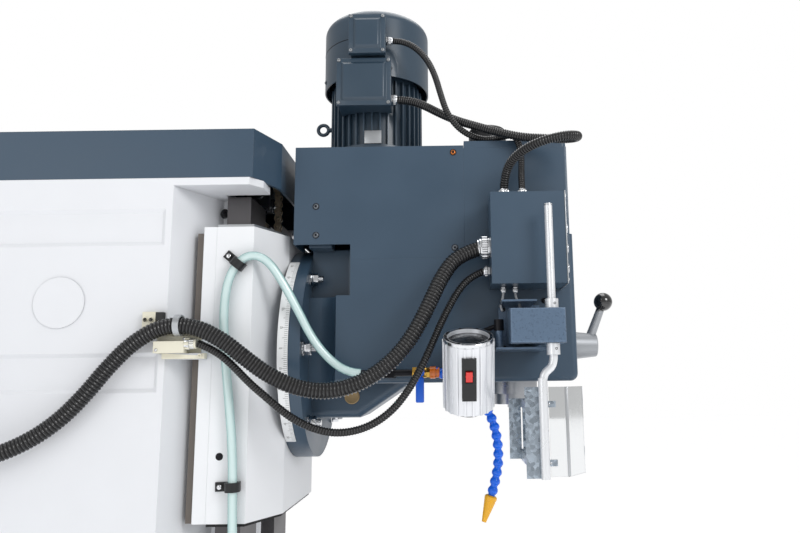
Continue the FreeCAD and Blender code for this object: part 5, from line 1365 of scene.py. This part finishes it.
@dataclass
class Fittings:
    """Glands, screws, lids, plates and marks on the machine's parts."""

    shop: Paintshop
    panel_x: float = -240.0
    panel_y: float = -98.0
    button_heights: tuple[float, ...] = (1960, 1917, 1874)
    motor_y: float = 325.0
    guard_axis: Pair = (-330, -56)
    door_y: float = 1418.0
    vents: int = 14
    vent_pitch: float = 9.0

    def build(self) -> None:
        """Builds every group of fittings."""
        self.glands()
        self.head_screws()
        self.slide_screws()
        self.terminal_lids()
        self.control_panel()
        self.limit_screws()
        self.guard_marks()
        self.cabinet()
        self.tap()

    def tap(self) -> None:
        """Shapes the tap's blue grip and the nozzle's ball socket."""
        grip = Piece("tap grip", self.shop)
        grip.block((-253, 199.5, 1600), (-245.4, 216.5, 1652), BLUE_PLASTIC, 2.6)
        grip.turned((-253.4, 208, 1661), (1, 0, 0), [(9.5, 0), (9.5, 7.6)], BLUE_PLASTIC, 28)
        grip.stand("tap_lever")
        socket = Piece("nozzle socket", self.shop)
        lean = Vector((0, 16, -50)).normalized()
        cup = [(10.5, -1), (13.6, 1.5), (14.0, 5), (13.4, 9), (11.2, 12.5), (11.0, 15)]
        socket.turned(tuple(Vector((-100, 60, 1392)) - lean), tuple(lean), cup, YELLOW, 36)
        socket.stand("head")

    def glands(self) -> None:
        """Turns each nickel cable gland with its nut and ribbed cap."""
        parts = Piece("nickel glands", self.shop)
        places = (((-240, 58, 1921), (0, 1, 0), 14.0, 16), ((-240, 58, 1870), (0, 1, 0), 8.0, 15),
                  ((-240, 25, 2030), (0, 0, 1), 9.0, 18), ((-240, -14, 2030), (0, 0, 1), 7.5, 18),
                  ((-240, 32, 1837), (0, 0, -1), 4.0, 13), ((-240, 7, 1837), (0, 0, -1), 4.0, 13),
                  ((-138, 278, 2297), (0, -1, 0), 8.5, 16), ((-150, 290, 2440), (0, -1, 0), 6.4, 18))
        for at, axis, r, length in places:
            self.gland(parts, at, axis, r, length)
        level = (0, 1, 0)
        parts.turned((self.panel_x, 58, 1921), level, [(24, 0), (24, 5), (21, 6.5)], CHROME, 48)
        parts.knurl((self.panel_x, 64, 1921), level, 24.2, 18, 11, CHROME)
        collar = [(22.5, 0), (22.5, 4), (20.5, 6), (20.5, 9), (17.4, 9.5)]
        parts.turned((self.panel_x, 75, 1920.6), (0, 1, -0.1), collar, CHROME, 48)
        parts.stand("head", "cable_glands")

    def gland(self, parts: Piece, at: Point, axis: Point, r: float, length: float) -> None:
        """Turns one gland: its nut, dark seal, ribbed ring and tapered cap.

        Args:
            parts: the piece that it joins.
            at: centre of its seat.
            axis: direction that it stands in.
            r: radius of its cable.
            length: how far it stands.
        """
        def up(share: float) -> Point:
            """Finds the point at a share of the gland's length."""
            return tuple(Vector(at) + Vector(axis) * (length * share))

        parts.hexagon(at, axis, r * 2.95, length * 0.34, CHROME)
        parts.turned(up(0.34), axis, [(r * 1.15, 0), (r * 1.15, length * 0.1)], BLACK_PLASTIC, 32)
        parts.knurl(up(0.44), axis, r * 1.42, 16, length * 0.34, CHROME)
        parts.turned(up(0.78), axis, [(r * 1.34, 0), (r * 1.3, length * 0.14), (r * 1.16, length * 0.22),
                                      (r * 1.05, length * 0.22)], CHROME, 32)

    def head_screws(self) -> None:
        """Turns the core plug's rim, the cap's ridges and the lid's screws."""
        parts = Piece("head screws", self.shop)
        rim = [(17, 0), (16.6, 0.9), (14.5, 1.3), (13.5, 0.7), (3, 0.6)]
        parts.turned((-106.4, 367, 1612), (-1, 0, 0), rim, PLUG, 36)
        ridge = [(46.8, 0), (48.4, 2), (48.4, 7), (46.8, 9)]
        for z in (2186, 2226):
            parts.turned((0, 45, z), (0, 0, 1), ridge, BLACK_PLASTIC, 56)
        for x in (-165, 165):
            for y in (-100, 0, 80):
                parts.cap_screw((x, y, 2176), (0, 0, 1), 7.0)
        for y in (-60, 30):
            parts.cap_screw((-190, y, 1812), (-1, 0, 0), 6.0)
        parts.stand("head")

    def slide_screws(self) -> None:
        """Turns the black screws in the slide and column, and the clips' screws."""
        parts = Piece("slide screws", self.shop)
        for y, z, r in ((609, 1500, 7.5), (603, 1847, 5.5)):
            for side in (-1, 1):
                head = [(r * 0.5, -0.2), (r, 0.6), (r, 3)]
                parts.turned((side * 261, y, z), (-side, 0, 0), head, BLACK_OXIDE, 24)
        for y, z, tilt in ((581.5, 1888, 39.5), (576, 1443, -1.5)):
            angle = math.radians(tilt)
            at = (-269, y + 28 * math.cos(angle), z + 28 * math.sin(angle))
            parts.turned(at, (-1, 0, 0), [(4.6, -0.5), (4.6, 0.8), (3.4, 1.7), (1.6, 1.9)], CHROME, 24)
        parts.stand("head_slide")
        held = Piece("way screws", self.shop)
        for side in (-1, 1):
            held.turned((side * 176, 645, 2019), (side, -0.45, 0),
                        [(9.0, -12), (9.0, 8), (8.2, 9), (4.4, 9), (4.2, 4)], BLACK_OXIDE, 28)
        held.stand("machine")

    def terminal_lids(self) -> None:
        """Shapes the motor's terminal lids and screws, its blank plate and the cowl's seam."""
        parts = Piece("terminal lids", self.shop)
        for x, y0, y1, z0, z1 in ((-167, 275, 402, 2275, 2391), (-179, 287, 373, 2398, 2495)):
            def ring(deep: float, inset: float) -> list[Point]:
                """Corners of the lid's outline at a depth, drawn in from its rim."""
                return [(x + deep, y0 + inset, z0 + inset), (x + deep, y1 - inset, z0 + inset),
                        (x + deep, y1 - inset, z1 - inset), (x + deep, y0 + inset, z1 - inset)]

            parts.frustum(ring(9, -0.4), ring(0, -0.4), ENAMEL_DARK, 2.6)
            parts.frustum(ring(2, 9), ring(-6, 17), ENAMEL_DARK, 1.6)
            for y in (y0 + 6, y1 - 6):
                for z in (z0 + 6, z1 - 6):
                    parts.cap_screw((x, y, z), (-1, 0, 0), 4.2, SATIN)
        parts.block((-116.5, 302, 2200), (-113.6, 342, 2232), SATIN, 0.4)
        seam = [(130.8, 0), (131.5, 0.3), (131.5, 1.7), (130.8, 2)]
        parts.turned((0, self.motor_y, 2462), (0, 0, 1), seam, BLACK_OXIDE, 96)
        for angle in (200, 290, 20, 110):
            out = spoke(angle)
            parts.button(tuple(Vector((0, self.motor_y, 2385)) + out * 131), tuple(out), 5.0, DULL_SCREW)
        parts.stand("head")

    def control_panel(self) -> None:
        """Adds the panel's bright edge, the buttons' collars and the screws to the control box."""
        parts = Piece("control panel", self.shop)
        parts.block((-291, -98.5, 1836), (-189.5, -96.2, 2031), SATIN, 0.5)
        collar = [(15.5, 0), (15.5, 3), (13.6, 5.5), (12.9, 5.5), (12.9, 0)]
        for z in self.button_heights:
            parts.turned((self.panel_x, self.panel_y, z), (0, -1, 0), collar, CHROME, 40)
        for x in (-282, -198):
            for z in (1845, 2022):
                parts.cap_screw((x, self.panel_y - 0.4, z), (0, -1, 0), 3.4, CHROME)
        parts.stand("head")

    def limit_screws(self) -> None:
        """Turns the small screws of the limit switch and its stop."""
        parts = Piece("limit screws", self.shop)
        for at in ((-313, 670, 1732), (-330, 718, 1710)):
            parts.cap_screw(at, (-1, 0, 0), 3.2, CHROME)
        socket = [(3.9, -3), (3.9, 0.4), (2.2, 0.5), (2.2, -2)]
        for y in (737, 749):
            parts.turned((-316, y, 1771), (-1, 0, 0), socket, BLACK_OXIDE, 20)
        parts.hexagon((-320, 664, 1722), (0, -1, 0), 21.5, 9, CHROME)
        parts.knurl((-320, 655, 1722), (0, -1, 0), 10.4, 16, 9, CHROME)
        parts.stand("machine")

    def guard_marks(self) -> None:
        """Adds set screws, the bracket's screws and the window's fold strip."""
        still = Piece("bracket screws", self.shop)
        for y, z in ((-38, 1793), (30, 1793), (30, 1712)):
            still.cap_screw((-196, y, z), (-1, 0, 0), 4.6)
        still.stand("head")
        moved = Piece("guard set screws", self.shop)
        socket = [(2.6, -1), (2.6, 0.5), (1.4, 0.5), (1.4, -0.6)]
        for z in (1790, 1702):
            for angle in (200, 300):
                out = spoke(angle)
                moved.turned(tuple(Vector((*self.guard_axis, z)) + out * 12.6), tuple(out), socket,
                             BLACK_OXIDE, 18)
        moved.turned((*self.guard_axis, 1989), (0, 0, 1), [(8.05, -1), (8.05, 1.6), (6.8, 3)], GROUND, 32)
        moved.block((-322.6, -82, 1461), (-321.2, -76, 1628.5), SATIN, 0.3)
        for z in (1486, 1596):
            moved.cap_screw((-326, -44, z), (-1, 0, 0), 3.0, CHROME)
        moved.stand("cutter_guard")

    def cabinet(self) -> None:
        """Adds the cabinet door's handle, its vents and the switch's plate."""
        parts = Piece("cabinet fittings", self.shop)
        y = self.door_y
        parts.block((-392, y - 1, 1230), (-368, y + 3, 1330), BLACK_PLASTIC, 1.0)
        parts.turned((-380, y + 2, 1300), (0, 1, 0), [(9, 0), (9, 3), (7.5, 4.5)], CHROME, 32)
        parts.block((-386, y + 2, 1242), (-374, y + 7, 1284), CHROME, 1.6)
        for row in range(self.vents):
            z = 840 + self.vent_pitch * row
            parts.block((-60, y - 0.4, z), (140, y + 1.6, z + 4), BLACK_PLASTIC, 0.4)
        parts.block((-340, y - 0.6, 1522), (-260, y + 0.35, 1600), AMBER, 0.2)
        parts.stand("cabinet_door")


# ---- the whole machine --------------------------------------------------------------------
@dataclass
class Machine:
    """The machine's looks, built over its frame."""

    shop: Paintshop = field(default_factory=Paintshop)

    def build(self, nodes: dict) -> None:
        """Paints every CAD node and builds the detail pieces.

        Args:
            nodes: the CAD nodes' objects by name.
        """
        for name, made in nodes.items():
            made.data.materials.clear()
            made.data.materials.append(self.shop.material(NODE_FINISH[name]))
            self.zones(name, made)
        Conduits(self.shop, PathWork(self.shop)).build()
        Chain(self.shop).build()
        Swivel(self.shop).build()
        Lamp(self.shop).build()
        Fittings(self.shop).build()

    def zones(self, name: str, made: bpy.types.Object) -> None:
        """Paints the faces of a node that lie in zones of their own.

        Args:
            name: the CAD node's name.
            made: its object.
        """
        wanted = [zone for zone in ZONES if zone.node == name]
        for slot, zone in enumerate(wanted, 1):
            made.data.materials.append(self.shop.material(zone.finish))
            for face in made.data.polygons:
                if zone.holds(made.matrix_world @ face.center / MM):
                    face.material_index = slot


@dataclass(frozen=True)
class SoftBox:
    """A square soft light, in metres and watts."""

    name: str
    at: Point
    aim: Point
    size: float
    power: float


LIGHTS = [
    SoftBox("key", (-2.6, -1.9, 3.3), (0, 0.2, 1.8), 1.3, 44),
    SoftBox("fill", (-3.0, 2.6, 2.4), (0, 0.6, 1.7), 2.0, 15),
    SoftBox("top", (0.3, 0.3, 4.4), (0, 0.3, 1.8), 2.4, 40),
]


@dataclass
class Studio:
    """Floor, soft light and camera, in metres."""

    floor_half: float = 30.0
    floor_glow: float = 0.5
    world_light: Pair = (0.55, 1.0)
    lens_mm: float = 31.5
    shift: float = -0.065
    pitch: float = 9.4
    roll: float = -0.8
    eye: Point = (-1.7, 0.139, 1.640)

    def build(self) -> None:
        """Sets up the whole studio."""
        self.floor()
        self.light()
        self.camera()

    def floor(self) -> None:
        """Lays a pale floor that reaches far behind the machine."""
        mesh = bpy.data.meshes.new("floor")
        s = self.floor_half
        mesh.from_pydata([(-s, -s, 0), (s, -s, 0), (s, s, 0), (-s, s, 0)], [], [(0, 1, 2, 3)])
        made = bpy.data.objects.new("floor", mesh)
        bpy.context.scene.collection.objects.link(made)
        material = bpy.data.materials.new("pale floor")
        material.use_nodes = True
        shader = next(n for n in material.node_tree.nodes if n.type == "BSDF_PRINCIPLED")
        shader.inputs["Base Color"].default_value = linear("#f4f4f5")
        shader.inputs["Roughness"].default_value = 0.9
        shader.inputs["Emission Color"].default_value = (1.0, 1.0, 1.0, 1.0)
        shader.inputs["Emission Strength"].default_value = self.floor_glow
        mesh.materials.append(material)

    def light(self) -> None:
        """Hangs a white surround, softer on the machine than to the eye, and three soft boxes."""
        world = bpy.data.worlds.new("studio")
        bpy.context.scene.world = world
        world.use_nodes = True
        sky = next(n for n in world.node_tree.nodes if n.type == "BACKGROUND")
        sky.inputs["Color"].default_value = (1.0, 1.0, 1.0, 1.0)
        seen = add_node(world.node_tree, "ShaderNodeLightPath")
        strength = add_node(world.node_tree, "ShaderNodeMapRange", {
            "Value": seen.outputs["Is Camera Ray"], "To Min": self.world_light[0],
            "To Max": self.world_light[1]})
        world.node_tree.links.new(strength.outputs["Result"], sky.inputs["Strength"])
        bpy.context.scene.view_settings.view_transform = "Standard"
        for box in LIGHTS:
            lamp = bpy.data.lights.new(box.name, "AREA")
            lamp.size = box.size
            lamp.energy = box.power
            made = bpy.data.objects.new(box.name, lamp)
            made.location = box.at
            made.rotation_euler = (Vector(box.aim) - Vector(box.at)).to_track_quat("-Z", "Y").to_euler()
            bpy.context.scene.collection.objects.link(made)

    def camera(self) -> None:
        """Sets the camera square to the machine's left side, tipped up and a little rolled."""
        data = bpy.data.cameras.new("camera")
        data.sensor_width = 36
        data.lens = self.lens_mm
        data.shift_x = self.shift
        data.clip_end = 100
        made = bpy.data.objects.new("camera", data)
        pitch, roll = math.radians(self.pitch), math.radians(self.roll)
        ahead = Vector((math.cos(pitch), 0, math.sin(pitch)))
        level, rise = Vector((0, -1, 0)), Vector((-math.sin(pitch), 0, math.cos(pitch)))
        right = level * math.cos(roll) + rise * math.sin(roll)
        up = rise * math.cos(roll) - level * math.sin(roll)
        turn = Matrix((right, up, -ahead)).transposed().to_4x4()
        made.matrix_world = Matrix.Translation(self.eye) @ turn
        bpy.context.scene.collection.objects.link(made)
        bpy.context.scene.camera = made


def main() -> None:
    """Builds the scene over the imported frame."""
    logging.basicConfig(level=logging.INFO)
    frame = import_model()
    Machine().build(frame["nodes"])
    Studio().build()


if __name__ == "__main__":
    main()
